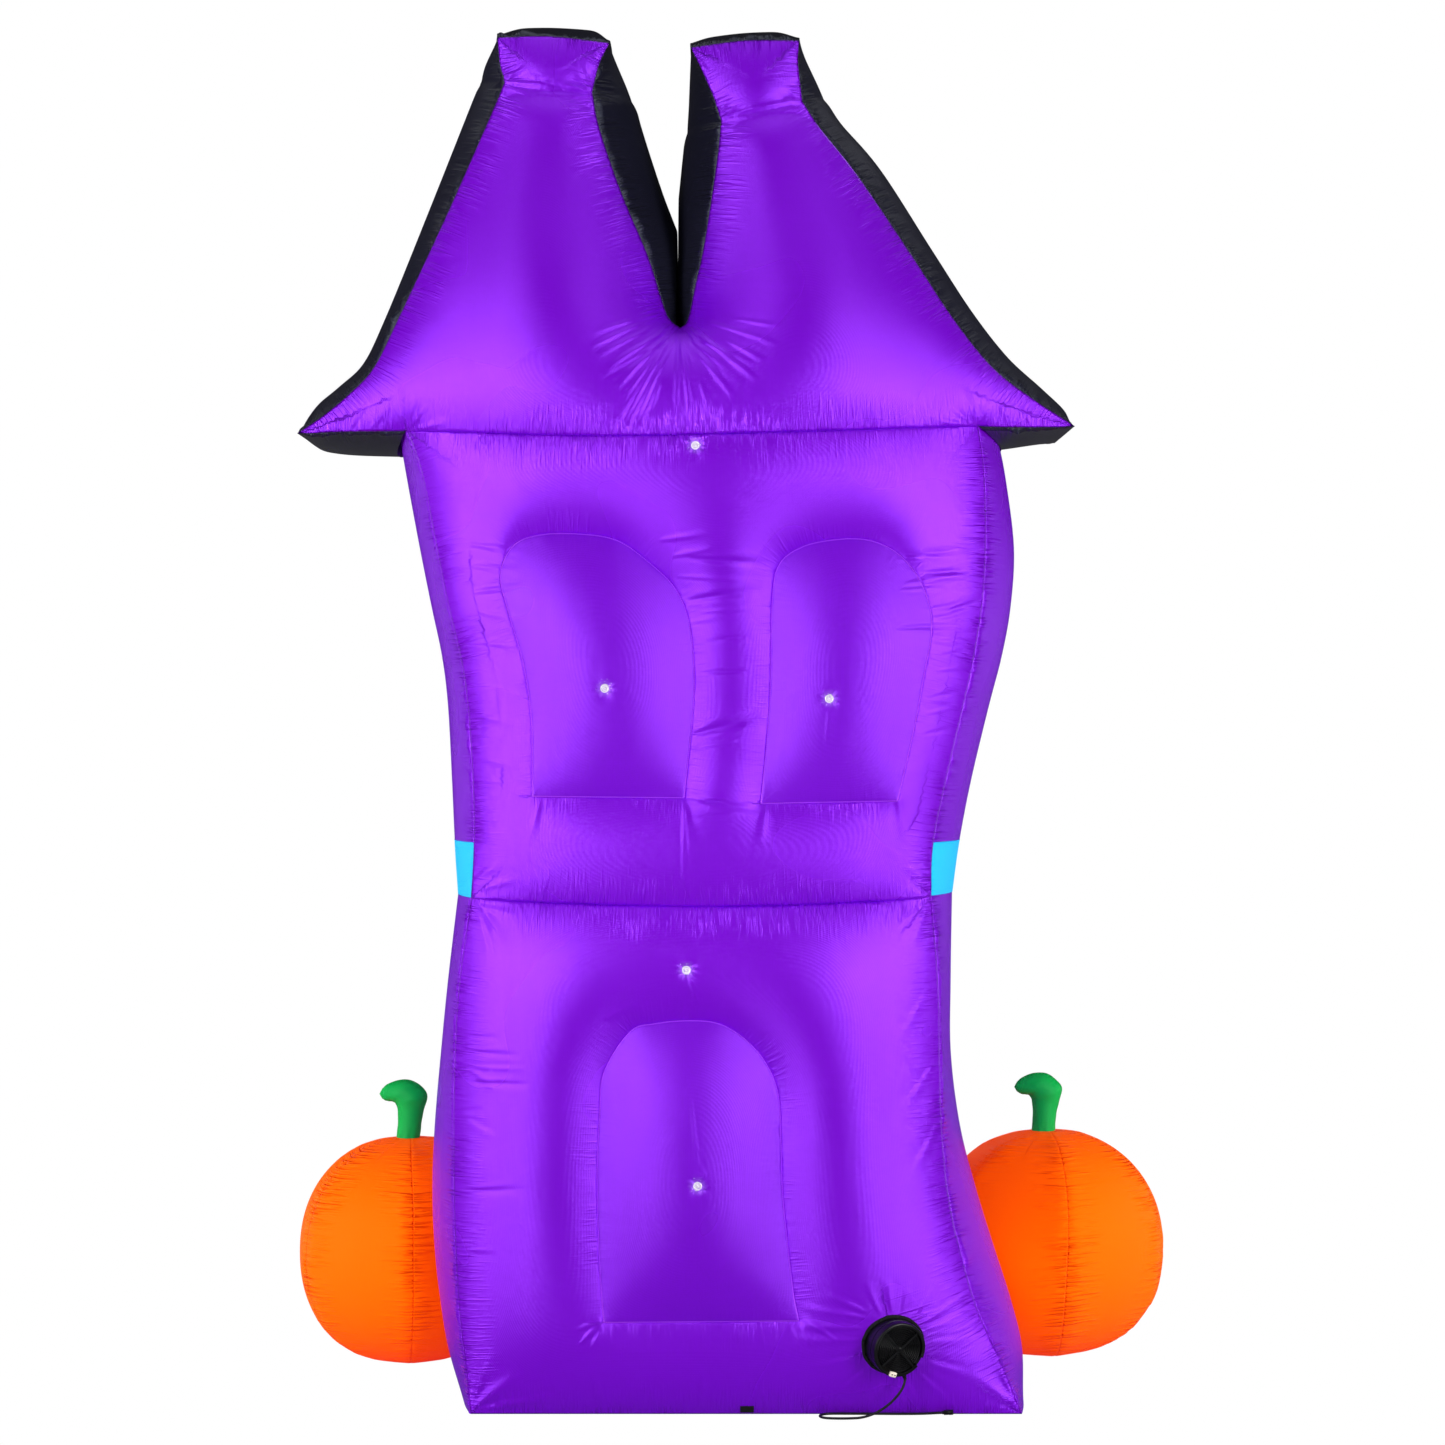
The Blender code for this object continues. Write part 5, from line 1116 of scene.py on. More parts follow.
# %% Upper storey
UPPER_FOLDS = [
    (690, 559, 768, 564, 5.5, -2.6), (676, 576, 752, 581, 4, 1.2), (688, 601, 764, 589, 6.5, -3),
    (700, 612, 756, 608, 3.5, 1.2), (698, 672, 748, 671, 3.5, -1.8), (692, 735, 762, 716, 7.5, -3.2),
    (688, 797, 764, 812, 5, -2.4), (690, 820, 752, 812, 6, 1), (706, 642, 752, 636, 5, -1.2),
    (694, 748, 742, 740, 4, 1.2), (692, 803, 738, 800, 3.5, -1.6), (468, 544, 524, 552, 5, 1.8),
    (470, 566, 520, 571, 5, 1.6), (474, 592, 524, 586, 5, 1.8), (478, 612, 514, 619, 5, 1.4),
    (480, 642, 520, 647, 5, 1.6), (474, 715, 514, 724, 5.5, 1.6), (486, 760, 520, 768, 5.5, 1),
    (660, 540, 712, 533, 5, 1.6), (672, 556, 716, 548, 5, 1.6), (690, 622, 716, 618, 4.5, 1.2),
    (896, 560, 982, 546, 6, 2), (905, 584, 986, 572, 6, 2), (926, 610, 978, 602, 5.5, 1.6),
    (932, 640, 972, 646, 5.5, 1.2), (930, 700, 960, 704, 5.5, 1), (475, 880, 500, 862, 6, 1.8),
    (478, 890, 520, 878, 6, 1.6), (930, 880, 905, 866, 6, 1.6), (683, 792, 684, 900, 3, 0.8),
    (829, 706, 826, 746, 3, 0.8), (540, 800, 528, 846, 7, 1.6), (684, 800, 690, 846, 7, 1.4),
    (766, 804, 760, 846, 7, 1.4), (898, 798, 905, 842, 7, 1.6), (908, 555, 944, 557, 4.5, -2.2),
    (920, 573, 980, 571, 5, -2.6), (950, 610, 984, 600, 5, -3), (896, 628, 968, 625, 4.5, -2.2),
    (930, 619, 966, 613, 3.5, 1.6), (900, 590, 942, 588, 3.5, 1.4), (940, 656, 972, 650, 4, -1.4),
    (936, 671, 970, 665, 4, 1.4), (930, 698, 964, 690, 4, -1.4), (926, 714, 960, 706, 4, 1.2),
    (922, 735, 954, 728, 4, -1.2)]
for word, side, fine in FACES:
    arches = [arch_outline(WINDOW_LEFT, fine), arch_outline(WINDOW_RIGHT, fine)]
    edge = storey_face(UPPER_ROWS, (STOREY_SEAM[0][1], STOREY_SEAM[-1][1]), (ROOF_SEAM[0], ROOF_SEAM[-1]),
                       ROOF_SEAM, STOREY_SEAM, (ROOF_SWELL, STOREY_SWELL), fine)
    skin = face_skin(edge, arches, side, fine, UPPER_FOLDS, 31 + side,
                     lamps=("roof_seam", "window_left", "window_right"))
    around, left, right = split_by(skin, arches)
    if side < 0:
        upper_rear_skin = skin
    skin_panel(f"upper_{word}", skin, around, side, purple_cloth, f"upper_{word}_panel")
    pillow = skin._replace(off=skin.off - ARCH_SEAM_OFFSET)
    for hand, part in (("left", left), ("right", right)):
        skin_panel(f"window_{word}_{hand}_pillow", pillow, part, side, deep_purple_cloth,
                   f"window_{word}_{hand}")
print("upper storey made")

# %% [markdown]
# ## Lower storey
# The door is drawn in like the windows. On the rear the blower sits in a round opening low on the
# right, and its weight drags folds out of the cloth around it. The opening is where the drum's
# round wall leaves the swollen skin, so it is found by sliding each point of the wall's circle
# along the drum's axis until it meets the skin.

# %% Place of the blower
BLOWER_FACE = Vector((0.3, -0.29, 0.1425))
BLOWER_AXIS = Vector((0.355, -0.923, -0.155)).normalized()
BLOWER_RADIUS = 0.0546
COLLAR_RADIUS = 0.0566
COLLAR_POINTS = 72
COLLAR_GATHERS = (0.011, 0.018, 0.0022)


def standing_on(point, axis):
    """Placement whose Z is the given axis and whose Y is as upright as can be."""
    z_axis = axis.normalized()
    x_axis = Vector((0.0, 0.0, 1.0)).cross(z_axis).normalized()
    turn = Matrix((x_axis, z_axis.cross(x_axis), z_axis)).transposed().to_4x4()
    return Matrix.Translation(point) @ turn


blower_frame = standing_on(BLOWER_FACE, BLOWER_AXIS)


def collar_loop(skin, side):
    """Where the drum's wall meets the swollen skin, as (x, z) points."""
    tree = point_tree(skin.flat)
    loop = []
    for turn in np.linspace(0.0, math.tau, COLLAR_POINTS, endpoint=False):
        start = blower_frame @ Vector((COLLAR_RADIUS * math.cos(turn), COLLAR_RADIUS * math.sin(turn), 0.0))
        place = start.copy()
        for _ in range(8):
            height = skin.heights[tree.find((place.x, place.z, 0.0))[1]]
            slide = float(side * (SEAM_PLANE + height) - start.y) / BLOWER_AXIS.y
            place = start + slide * BLOWER_AXIS
        loop.append((place.x, place.z))
    loop = np.array(loop)
    return 0.25 * np.roll(loop, 1, axis=0) + 0.5 * loop + 0.25 * np.roll(loop, -1, axis=0)


# %% Lower storey
LOWER_FOLDS = [
    (480, 904, 506, 950, 9, 2.4), (478, 912, 490, 960, 6, 1.4), (474, 905, 520, 916, 5, 1.6),
    (924, 904, 896, 930, 6, 1.8), (926, 908, 912, 950, 6, 1.6), (930, 986, 900, 1040, 6, 1.2),
    (936, 1060, 905, 1110, 6, 1.4), (940, 1120, 912, 1178, 6, 1.4), (580, 1344, 604, 1318, 5, 2.4),
    (578, 1330, 604, 1318, 5, 1.8), (592, 1348, 606, 1320, 5, 1.8), (836, 1340, 800, 1316, 5, 2),
    (800, 1340, 792, 1318, 5, 1.6), (812, 1346, 798, 1318, 5, 1.6), (866, 1318, 798, 1306, 5.5, 1.6),
    (862, 1328, 796, 1326, 5.5, 1.7), (860, 1340, 800, 1341, 5.5, 1.5), (866, 1312, 826, 1294, 5.5, 1.4),
    (880, 1314, 866, 1280, 5.5, 1.4), (892, 1312, 888, 1278, 5.5, 1.5), (903, 1313, 910, 1280, 5.5, 1.4),
    (914, 1316, 934, 1288, 5.5, 1.6), (922, 1322, 968, 1294, 5.5, 1.7), (928, 1330, 972, 1312, 5.5, 1.5),
    (932, 1342, 978, 1338, 5.5, 1.4), (930, 1362, 970, 1376, 5.5, 1.4), (920, 1374, 950, 1404, 5.5, 1.5),
    (906, 1380, 918, 1410, 5.5, 1.4), (884, 1380, 872, 1408, 5.5, 1.4), (868, 1368, 836, 1396, 5.5, 1.5),
    (862, 1356, 812, 1368, 5.5, 1.4), (474, 1408, 520, 1372, 10, 3.6), (476, 1410, 560, 1396, 6, 2.4),
    (473, 1404, 490, 1350, 7, 2.4), (1018, 1406, 968, 1372, 9, 3.2), (1016, 1402, 988, 1340, 7, 2.4),
    (600, 1406, 592, 1370, 6, 1.2), (700, 1408, 704, 1372, 6, 1), (470, 1070, 496, 1086, 6, 1.2),
    (466, 1120, 498, 1140, 6, 1.2), (604, 1020, 640, 1000, 7, 1.2), (688, 974, 700, 1012, 3, 0.9),
    (691, 1098, 698, 1170, 3, 0.8), (462, 1036, 500, 1038, 4, -1.2), (466, 1051, 521, 1056, 4.5, -1.8),
    (470, 1067, 530, 1069, 4, 1.4), (470, 1082, 533, 1085, 4.5, -1.8), (452, 1094, 491, 1087, 4, 1.2),
    (450, 1112, 484, 1109, 4, -1.2), (455, 1191, 527, 1189, 5, -1.6), (455, 1252, 499, 1256, 4.5, -1.4)]
for word, side, fine in FACES:
    door = arch_outline(DOOR, fine)
    edge = storey_face(LOWER_ROWS, (0.0, 0.0), (STOREY_SEAM[0], STOREY_SEAM[-1]), STOREY_SEAM, GROUND,
                       (STOREY_SWELL, 0.0), fine)
    cuts = []
    if side < 0:
        collar = collar_loop(blow_up(edge[0][::4], edge[1][::4], [door[::4]], 4.0 * fine), side)
        cuts = [collar]
    skin = face_skin(edge, [door], side, fine, LOWER_FOLDS, 51 + side, lamps=("over_door", "door"), cuts=cuts)
    around, doorway = split_by(skin, [door])
    if side < 0:
        off, way = seam_coordinates(collar, skin.flat)
        tucks = gathers(off, way, closed_steps(collar).sum(), *COLLAR_GATHERS, 71)
        skin = skin._replace(heights=skin.heights + tucks, off=np.minimum(skin.off, off + 0.002))
        around = around[~inside(collar, skin.flat[around].mean(axis=1))]
        lower_rear_skin = skin
    skin_panel(f"lower_{word}", skin, around, side, purple_cloth, f"lower_{word}_panel")
    pillow = skin._replace(off=skin.off - ARCH_SEAM_OFFSET)
    skin_panel(f"door_{word}_pillow", pillow, doorway, side, deep_purple_cloth, f"door_{word}")
print("lower storey made")

# %% [markdown]
# ## Gussets
# Between the rear and the front seams runs a strip of cloth, the gusset. Air bows it outward, most
# in the middle between the two seams. It is black round the roof, purple on the body, and light
# blue in a short band over the storey seam. Each gusset is built as a slab whose rim rows bow out
# along a parabola, and its two seams gather it just as they gather the panels.

# %% Gusset slab
REAR_COLUMNS, FRONT_COLUMNS = ((30, 13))
NOTCH_SPAN = (-0.334, -0.039)
NOTCH_FOOT = (-0.13, 2.146)
TOWER_TOUCH_X = -0.137
TOWER_SLIT = 0.0012
FRONT_WAY = 50.0
GUSSET_GATHERS = [(0.013, 0.022, 0.006), (0.036, 0.055, 0.01), (0.11, 0.09, 0.008)]


def pressed(seam_x, seam_z, x):
    """The two towers' inner walls swell only until they press on each other."""
    between = (seam_x > NOTCH_SPAN[0]) & (seam_x < NOTCH_SPAN[1]) & (seam_z >= NOTCH_FOOT[1])
    left = between & (seam_x < TOWER_TOUCH_X)
    right = between & (seam_x > NOTCH_FOOT[0])
    x = np.where(left, np.minimum(x, TOWER_TOUCH_X - TOWER_SLIT), x)
    return np.where(right, np.maximum(x, TOWER_TOUCH_X + TOWER_SLIT), x)


def gusset_grid(rows, seed, lifted=0.0, strength=1.0):
    """Points of a gusset's bowed strip, with its seam distances, row by row."""
    rows = np.array(rows)
    rear = -np.linspace(1.0, 0.0, REAR_COLUMNS, endpoint=False)
    front = np.linspace(0.0, 1.0, FRONT_COLUMNS + 1)
    y = HALF_DEPTH * np.concatenate([0.45 * rear + 0.55 * np.sin(0.5 * math.pi * rear), front])
    share = 1.0 - (y / HALF_DEPTH) ** 2
    steps = np.hypot(*np.diff(rows[:, :2], axis=0).T)
    way = np.concatenate([[0.0], np.cumsum(steps)])
    off = np.broadcast_to(HALF_DEPTH - np.abs(y), (len(rows), len(y))).copy()
    along = np.broadcast_to(way[:, None], off.shape) + np.where(y > 0.0, FRONT_WAY, 0.0)
    swell = np.hypot(rows[:, 2], rows[:, 3])
    out = rows[:, 2:4] / np.maximum(swell, 1e-9)[:, None]
    rise = np.zeros(off.size)
    for edge in (0.0, FRONT_WAY):
        for layer, settings in enumerate(GUSSET_GATHERS):
            mine = np.abs(along.ravel() - edge) < 0.8 * FRONT_WAY
            rise += mine * gathers(off.ravel(), along.ravel() - edge, way[-1], *settings,
                                   seed + layer + int(edge), patches=5.0)
    rise = rise.reshape(off.shape) * np.clip(swell / 0.02, 0.0, 1.0)[:, None] * strength
    depth = share[None] * swell[:, None] + rise * np.clip(off / 0.006, 0.0, 1.0) + lifted
    seam_x, seam_z = rows[:, 0][:, None], rows[:, 1][:, None]
    x = pressed(seam_x, seam_z, seam_x + depth * out[:, 0][:, None])
    z = seam_z + depth * out[:, 1][:, None]
    return np.dstack([x, np.broadcast_to(y, x.shape), z]), off, along


def gusset_piece(name, rows, finish, node_name, seed, strength=1.0):
    """A closed slab between the seam planes with a bowed rim."""
    points, off, along = gusset_grid(rows, seed, strength=strength)
    number, faces = grid_faces(*off.shape, round_rows=True)
    outline = np.array(rows)[:, :2]
    kept = np.flatnonzero(closed_steps(outline) > 1e-5)
    flat, triangles = triangulate(outline[kept])
    match = kept[nearest(point_tree(outline[kept]), flat)[0]]
    for column in (0, -1):
        faces += [tuple(number[match[k], column] for k in face) for face in triangles]
    cloth_piece(name, points.reshape(-1, 3), faces, finish, [node_name],
                {"seam_off": off.ravel(), "seam_along": along.ravel()}, sharp=60.0)
    print(name, off.size, "points")


# %% Rows up the sides
SEAM_STEP = 0.03


def side_rows(table, low, high, side, step):
    """Gusset rim rows up one side of the body, between two (x, z) seam ends."""
    heights = levels(low[1], high[1], step)
    rows = [(x, z, side * swell, 0.0) for z, x, swell in zip(heights, *body_at(table, heights, side))]
    rows[0] = (low[0], *rows[0][1:])
    rows[-1] = (high[0], *rows[-1][1:])
    return rows


def seam_end(seam, side):
    """One end of a level seam."""
    return seam[0 if side < 0 else -1]


def band_top_end(side):
    """Where the top edge of a side band meets the seam."""
    return body_at(UPPER_ROWS, BAND_TOP, side)[0], BAND_TOP


def level_rows(seam):
    """Rim rows with no swell along a level seam, left to right."""
    return [(x, z, 0.0, 0.0) for x, z in smooth_line(seam, SEAM_STEP)]


# %% Roof gusset
RIM_STEP = 0.003
EAVE_LEVEL = 1.96
EAVE_CLEARANCE = 0.002
CORNER_REACH = 0.045
CORNER_SOFTNESS = 0.012
TIP_REACH = 0.04
NECK_FULLNESS = 0.07
NECK_MARGIN = 5


def roof_gusset_rows(step):
    """Rim rows of the roof's gusset, clockwise, closed under the roof seam."""
    points = roof_points(step)
    rows = []
    for before, here, after in zip(points, points[1:], points[2:]):
        along = np.array([after[0] - before[0], after[1] - before[1]])
        along = along / np.linalg.norm(along)
        out = here[2] * np.array([-along[1], along[0]])
        rows.append([here[0], here[1], *out])
    rows = np.array(rows)
    for corner, swell in CORNER_SWELLS.items():
        near = gaps_to([corner], rows[:, :2])
        weight = np.clip(1.0 - near / CORNER_REACH, 0.0, 1.0)[:, None] ** 1.5
        rows[:, 2:] = rows[:, 2:] * (1.0 - weight) + weight * np.array(swell)
    for neck in (LEFT_NECK, LEFT_INNER_NECK, RIGHT_INNER_NECK, RIGHT_NECK):
        first, last = (int(gaps_to([end[:2]], rows[:, :2]).argmin()) for end in (neck[0], neck[-1]))
        if neck[0][:2] in CORNER_SWELLS:
            last += NECK_MARGIN
        else:
            first -= NECK_MARGIN
        share = np.linspace(0.0, 1.0, last - first + 1)[:, None]
        fuller = 1.0 + NECK_FULLNESS * np.sin(math.pi * share)
        rows[first:last + 1, 2:] = fuller * (rows[first, 2:] * (1.0 - share) + rows[last, 2:] * share)
    apart = np.abs(np.subtract.outer(np.arange(len(rows)), np.arange(len(rows)))) * step
    pull = bell(apart, CORNER_SOFTNESS)
    soft = pull @ rows[:, 2:] / pull.sum(axis=1)[:, None]
    tips = [LEFT_EAVE[-1][:2], RIGHT_EAVE[0][:2], NOTCH_LEFT[-1][:2]]
    keep = bell(gaps_to(tips, rows[:, :2]), TIP_REACH)[:, None]
    rows[:, 2:] = keep * rows[:, 2:] + (1.0 - keep) * soft
    ends = []
    for (x, z, low), side in ((points[0], -1), (points[-1], 1)):
        body = side_rows(UPPER_ROWS, band_top_end(side), seam_end(ROOF_SEAM, side), side, step)
        swell = body[-1][2]
        reach = np.interp(z - low, [row[1] for row in body], [row[0] + row[2] for row in body])
        reach = reach + side * EAVE_CLEARANCE - x
        farther = side * max(side * reach, side * (swell + side * EAVE_CLEARANCE))
        ends.append([(x, z, swell, 0.0), (x, z, farther, -low)])
    clear = [end[1][0] + end[1][2] for end in ends]
    rows = [tuple(row) for row in rows if row[1] > EAVE_LEVEL or not clear[0] < row[0] < clear[1]]
    return ends[0] + rows + ends[1][::-1] + level_rows(ROOF_SEAM)[::-1]


gusset_piece("roof_band", roof_gusset_rows(RIM_STEP), black_cloth, "roof_gusset", 101)

# %% Body gussets
def upper_gusset_rows(step):
    """Rim rows of the upper storey, flat where the side bands lie on it."""
    sides = {}
    for side in (-1, 1):
        above = side_rows(UPPER_ROWS, band_top_end(side), seam_end(ROOF_SEAM, side), side, step)
        covered = side_rows(UPPER_ROWS, seam_end(STOREY_SEAM, side), band_top_end(side), side, SEAM_STEP)
        sides[side] = [(x, z, 0.0, 0.0) for x, z, _, _ in covered] + above
    return sides[-1] + level_rows(ROOF_SEAM)[1:-1] + sides[1][::-1] + level_rows(STOREY_SEAM)[1:-1][::-1]


def lower_gusset_rows(step):
    """Rim rows of the lower storey, down to its flat base."""
    left = side_rows(LOWER_ROWS, GROUND[0], seam_end(STOREY_SEAM, -1), -1, step)
    right = side_rows(LOWER_ROWS, GROUND[1], seam_end(STOREY_SEAM, 1), 1, step)
    return left + level_rows(STOREY_SEAM)[1:-1] + right[::-1] + level_rows(GROUND)[1:-1][::-1]


gusset_piece("upper_side_walls", upper_gusset_rows(RIM_STEP), purple_cloth, "upper_gusset", 121, strength=0.5)
gusset_piece("lower_side_walls", lower_gusset_rows(RIM_STEP), purple_cloth, "lower_gusset", 141, strength=0.5)

# %% Side bands
BAND_LIFT, BAND_STRENGTH = 0.0004, 0.25


def side_band(hand, side, seed):
    """A blue band: the bowed strip closed at the seam plane."""
    rows = side_rows(UPPER_ROWS, seam_end(STOREY_SEAM, side), band_top_end(side), side, 0.5 * RIM_STEP)
    points, off, along = gusset_grid(rows, seed, BAND_LIFT, BAND_STRENGTH)
    number, faces = grid_faces(*off.shape)
    faces += [(a[0], b[0], b[-1], a[-1]) for a, b in zip(number[:-1], number[1:])]
    faces += [tuple(number[0]), tuple(number[-1])]
    ends = np.minimum(np.arange(len(rows)), np.arange(len(rows))[::-1]) * 0.5 * RIM_STEP
    cloth_piece(f"cloth_side_band_{hand}", points.reshape(-1, 3), faces, blue_cloth, [f"side_band_{hand}"],
                {"seam_off": np.minimum(off, ends[:, None]).ravel(), "seam_along": along.ravel()})


side_band("left", -1, 161)
side_band("right", 1, 165)
print("gussets made")

# %% [markdown]
# ## Pumpkins
# Each pumpkin is six long gores sewn edge to edge. A gore is nearly flat from side to side, so the
# ball has six soft edges, each with a narrow puckered groove along its seam. It stands flat under
# itself, a little higher on the right, where the ground rises. Its hidden side is drawn out to the
# corner seam of the house, where it is sewn on. Its shape is a rounded barrel in polar steps.

# %% Pumpkin sizes
PUMPKIN_RADIUS = 0.2375
PUMPKIN_HALF_HEIGHT = 0.24
PUMPKIN_MIDDLE = 0.232
PUMPKIN_ROUNDNESS = 2.2
PUMPKIN_GORES = 6
PUMPKIN_GATHERS = ((0.012, 0.018, 0.0032), (0.046, 0.034, 0.0056))
GORE_WAY = 3.0
GORE_FLATNESS = 0.62
SEAM_GROOVE, GROOVE_WIDTH = 0.024, math.radians(3.0)
TOP_PUCKER = 0.0016
PUMPKIN_TOP_SPOT = 0.03
PUMPKIN_SEAM_ANGLE = -85.0
SEAT_SPAN = 0.07
SEAT_PATCH = math.radians(12.0)
SEAT_SOFTNESS = math.radians(24.0)
SEAT_GAP = 0.0003
PUMPKIN_PLACES = {"left": (-0.716, 0.385), "right": (0.656, 0.403)}
PUMPKIN_LIFTS = {"left": 0.003, "right": 0.016}
TOP_SHARE = (1.0 - (PUMPKIN_TOP_SPOT / PUMPKIN_RADIUS) ** PUMPKIN_ROUNDNESS) ** (1.0 / PUMPKIN_ROUNDNESS)
PUMPKIN_TOP = PUMPKIN_MIDDLE + PUMPKIN_HALF_HEIGHT * TOP_SHARE
GORE_COLUMNS = 40
PUMPKIN_RINGS = 150


# %% Pumpkin
def seat_direction(centre, side):
    """Nearest place of the house's front corner seam, as a direction and a distance."""
    middle = Vector((*centre, PUMPKIN_MIDDLE))
    heights = np.linspace(0.05, 0.4, 36)
    corners = [Vector((x, HALF_DEPTH, z)) for x, z in zip(body_at(LOWER_ROWS, heights, side)[0], heights)]
    closest = min(corners, key=lambda corner: (corner - middle).length)
    toward = (closest - middle).normalized()
    close = [corner for corner in corners if (corner - closest).length < SEAT_SPAN]
    return np.array(toward), min((corner - middle).dot(toward) for corner in close) - SEAT_GAP


def pumpkin(word, side, seed):
    """Gored pumpkin with puckered seams, flat under itself."""
    centre = PUMPKIN_PLACES[word]
    toward, reach = seat_direction(centre, side)
    around = PUMPKIN_GORES * GORE_COLUMNS
    tilts = np.linspace(math.asin(-PUMPKIN_MIDDLE / PUMPKIN_HALF_HEIGHT), math.asin(TOP_SHARE), PUMPKIN_RINGS)
    rise = np.sin(tilts)[:, None]
    spread = PUMPKIN_RADIUS * (1.0 - np.abs(rise) ** PUMPKIN_ROUNDNESS) ** (1.0 / PUMPKIN_ROUNDNESS)
    column = np.arange(around)[None, :]
    turn = math.tau * column / around + math.radians(PUMPKIN_SEAM_ANGLE)
    half_gore = math.pi / PUMPKIN_GORES
    swung = (column % GORE_COLUMNS) * 2.0 * half_gore / GORE_COLUMNS - half_gore
    chord = math.cos(half_gore) / np.cos(swung)
    draw_in = (1.0 - GORE_FLATNESS * (1.0 - chord)) / (1.0 - GORE_FLATNESS * (1.0 - math.cos(half_gore)))
    draw_in = draw_in - SEAM_GROOVE * bell(half_gore - np.abs(swung), GROOVE_WIDTH)
    steps = np.hypot(np.diff(spread[:, 0]), PUMPKIN_HALF_HEIGHT * np.diff(rise[:, 0]))
    way = np.concatenate([[0.0], np.cumsum(steps)])[:, None]
    beside = column % GORE_COLUMNS
    beside = np.minimum(beside, GORE_COLUMNS - beside)
    off = spread * math.tau * beside / around
    seam_number = np.round(column / GORE_COLUMNS) % PUMPKIN_GORES
    along = way + 0.0 * column
    swell = np.zeros(off.shape)
    for gore in range(PUMPKIN_GORES):
        for layer, settings in enumerate(PUMPKIN_GATHERS):
            crest = gathers(off.ravel(), along.ravel(), float(way[-1, 0]), *settings,
                            seed + 10 * gore + layer, patches=14.0, least=0.25).reshape(off.shape)
            swell += np.where(seam_number == gore, crest, 0.0)
    pucker = np.cos(26.0 * turn + 2.0 * np.sin(5.0 * turn)) * bell(spread - 0.05, 0.03)
    swell += TOP_PUCKER * pucker * (rise > 0.0)
    radius = draw_in * spread + swell * np.clip(spread / 0.08, 0.0, 1.0)
    offset = np.dstack([radius * np.cos(turn), radius * np.sin(turn),
                        np.broadcast_to(PUMPKIN_HALF_HEIGHT * rise, radius.shape)])
    far = offset @ toward
    angle = np.arccos(np.clip(far / np.linalg.norm(offset, axis=2), -1.0, 1.0))
    short = reach - far
    pull = bell(np.maximum(0.0, angle - SEAT_PATCH), SEAT_SOFTNESS)
    offset += np.minimum(short, short * pull)[..., None] * toward
    z = np.clip(PUMPKIN_MIDDLE + offset[..., 2], 0.0, PUMPKIN_TOP)
    z[0] = 0.0
    z += PUMPKIN_LIFTS[word]
    points = np.dstack([centre[0] + offset[..., 0], centre[1] + offset[..., 1], z])
    number, faces = grid_faces(PUMPKIN_RINGS, around, round_columns=True)
    faces += [tuple(number[0]), tuple(number[-1])]
    cloth_piece(f"gored_pumpkin_{word}", points.reshape(-1, 3), faces, orange_cloth, [f"pumpkin_{word}"],
                {"seam_off": off.ravel(), "seam_along": (along + GORE_WAY * seam_number).ravel()}, sharp=70.0)


pumpkin("left", -1, 201)
pumpkin("right", 1, 301)

# %% Pumpkin stems
STEM_RIBS = [(-0.024, 0.0, 0.024, 0.0), (-0.0217, 0.0323, 0.0273, 0.0323),
             (-0.0228, 0.0624, 0.0327, 0.0603), (-0.0262, 0.0732, 0.0392, 0.0904),
             (-0.0308, 0.0769, 0.0263, 0.1098), (-0.0362, 0.0782, 0.0047, 0.1227),
             (-0.0426, 0.079, -0.0211, 0.1227), (-0.0502, 0.0807, -0.0448, 0.1141),
             (-0.0571, 0.085, -0.0566, 0.1044)]
STEM_TIP = (-0.0624, 0.0, 0.0937)
STEM_SIDES, STEM_STEP = 48, 0.0022
STEM_SHIFTS = {"left": -0.006, "right": -0.011}
STEM_FLATNESS = 0.85


def pumpkin_stem(word, seed):
    """Hooked stem of two sewn halves, gathered at its foot and creased in its bend."""
    centre = PUMPKIN_PLACES[word]
    ribs = smooth_line(STEM_RIBS, STEM_STEP)
    turn = math.tau * np.arange(STEM_SIDES) / STEM_SIDES
    phases = np.random.default_rng(seed).uniform(0.0, 6.28, 4)
    points, off, along = [], [], []
    shares = np.linspace(0.0, 1.0, len(ribs))
    for k, (share, (inner_x, inner_z, outer_x, outer_z)) in enumerate(zip(shares, ribs)):
        middle = np.array([0.5 * (inner_x + outer_x), 0.0, 0.5 * (inner_z + outer_z)])
        half = np.array([0.5 * (outer_x - inner_x), 0.0, 0.5 * (outer_z - inner_z)])
        length = np.linalg.norm(half)
        ripple = (0.008 * np.sin(37.0 * share + phases[0]) * np.cos(turn) ** 6
                  + 0.035 * bell(share, 0.07) * np.cos(9.0 * turn + phases[1])
                  + 0.01 * np.sin(15.0 * share + phases[2] + 2.0 * turn))
        ridge = 1.0 + 0.045 * bell(np.sin(turn), 0.09) + ripple
        for angle, grow in zip(turn, ridge):
            aside = np.array([0.0, math.sin(angle) * grow * STEM_FLATNESS * length, 0.0])
            points.append(middle + math.cos(angle) * grow * half + aside)
            off.append(abs(math.sin(angle)) * length)
            along.append(k * STEM_STEP)
    points.append(np.array(STEM_TIP))
    off.append(0.02)
    along.append(len(ribs) * STEM_STEP)
    number, faces = grid_faces(len(ribs), STEM_SIDES, round_columns=True)
    faces.append(tuple(number[0]))
    faces += [(a, b, len(points) - 1) for a, b in zip(number[-1], np.roll(number[-1], -1))]
    place = np.array([centre[0] + STEM_SHIFTS[word], centre[1], PUMPKIN_TOP + PUMPKIN_LIFTS[word]])
    cloth_piece(f"hooked_stem_{word}", np.array(points) + place, faces, green_cloth, [f"pumpkin_stem_{word}"],
                {"seam_off": off, "seam_along": along}, sharp=75.0)


pumpkin_stem("left", 401)
pumpkin_stem("right", 402)
print("pumpkins made")

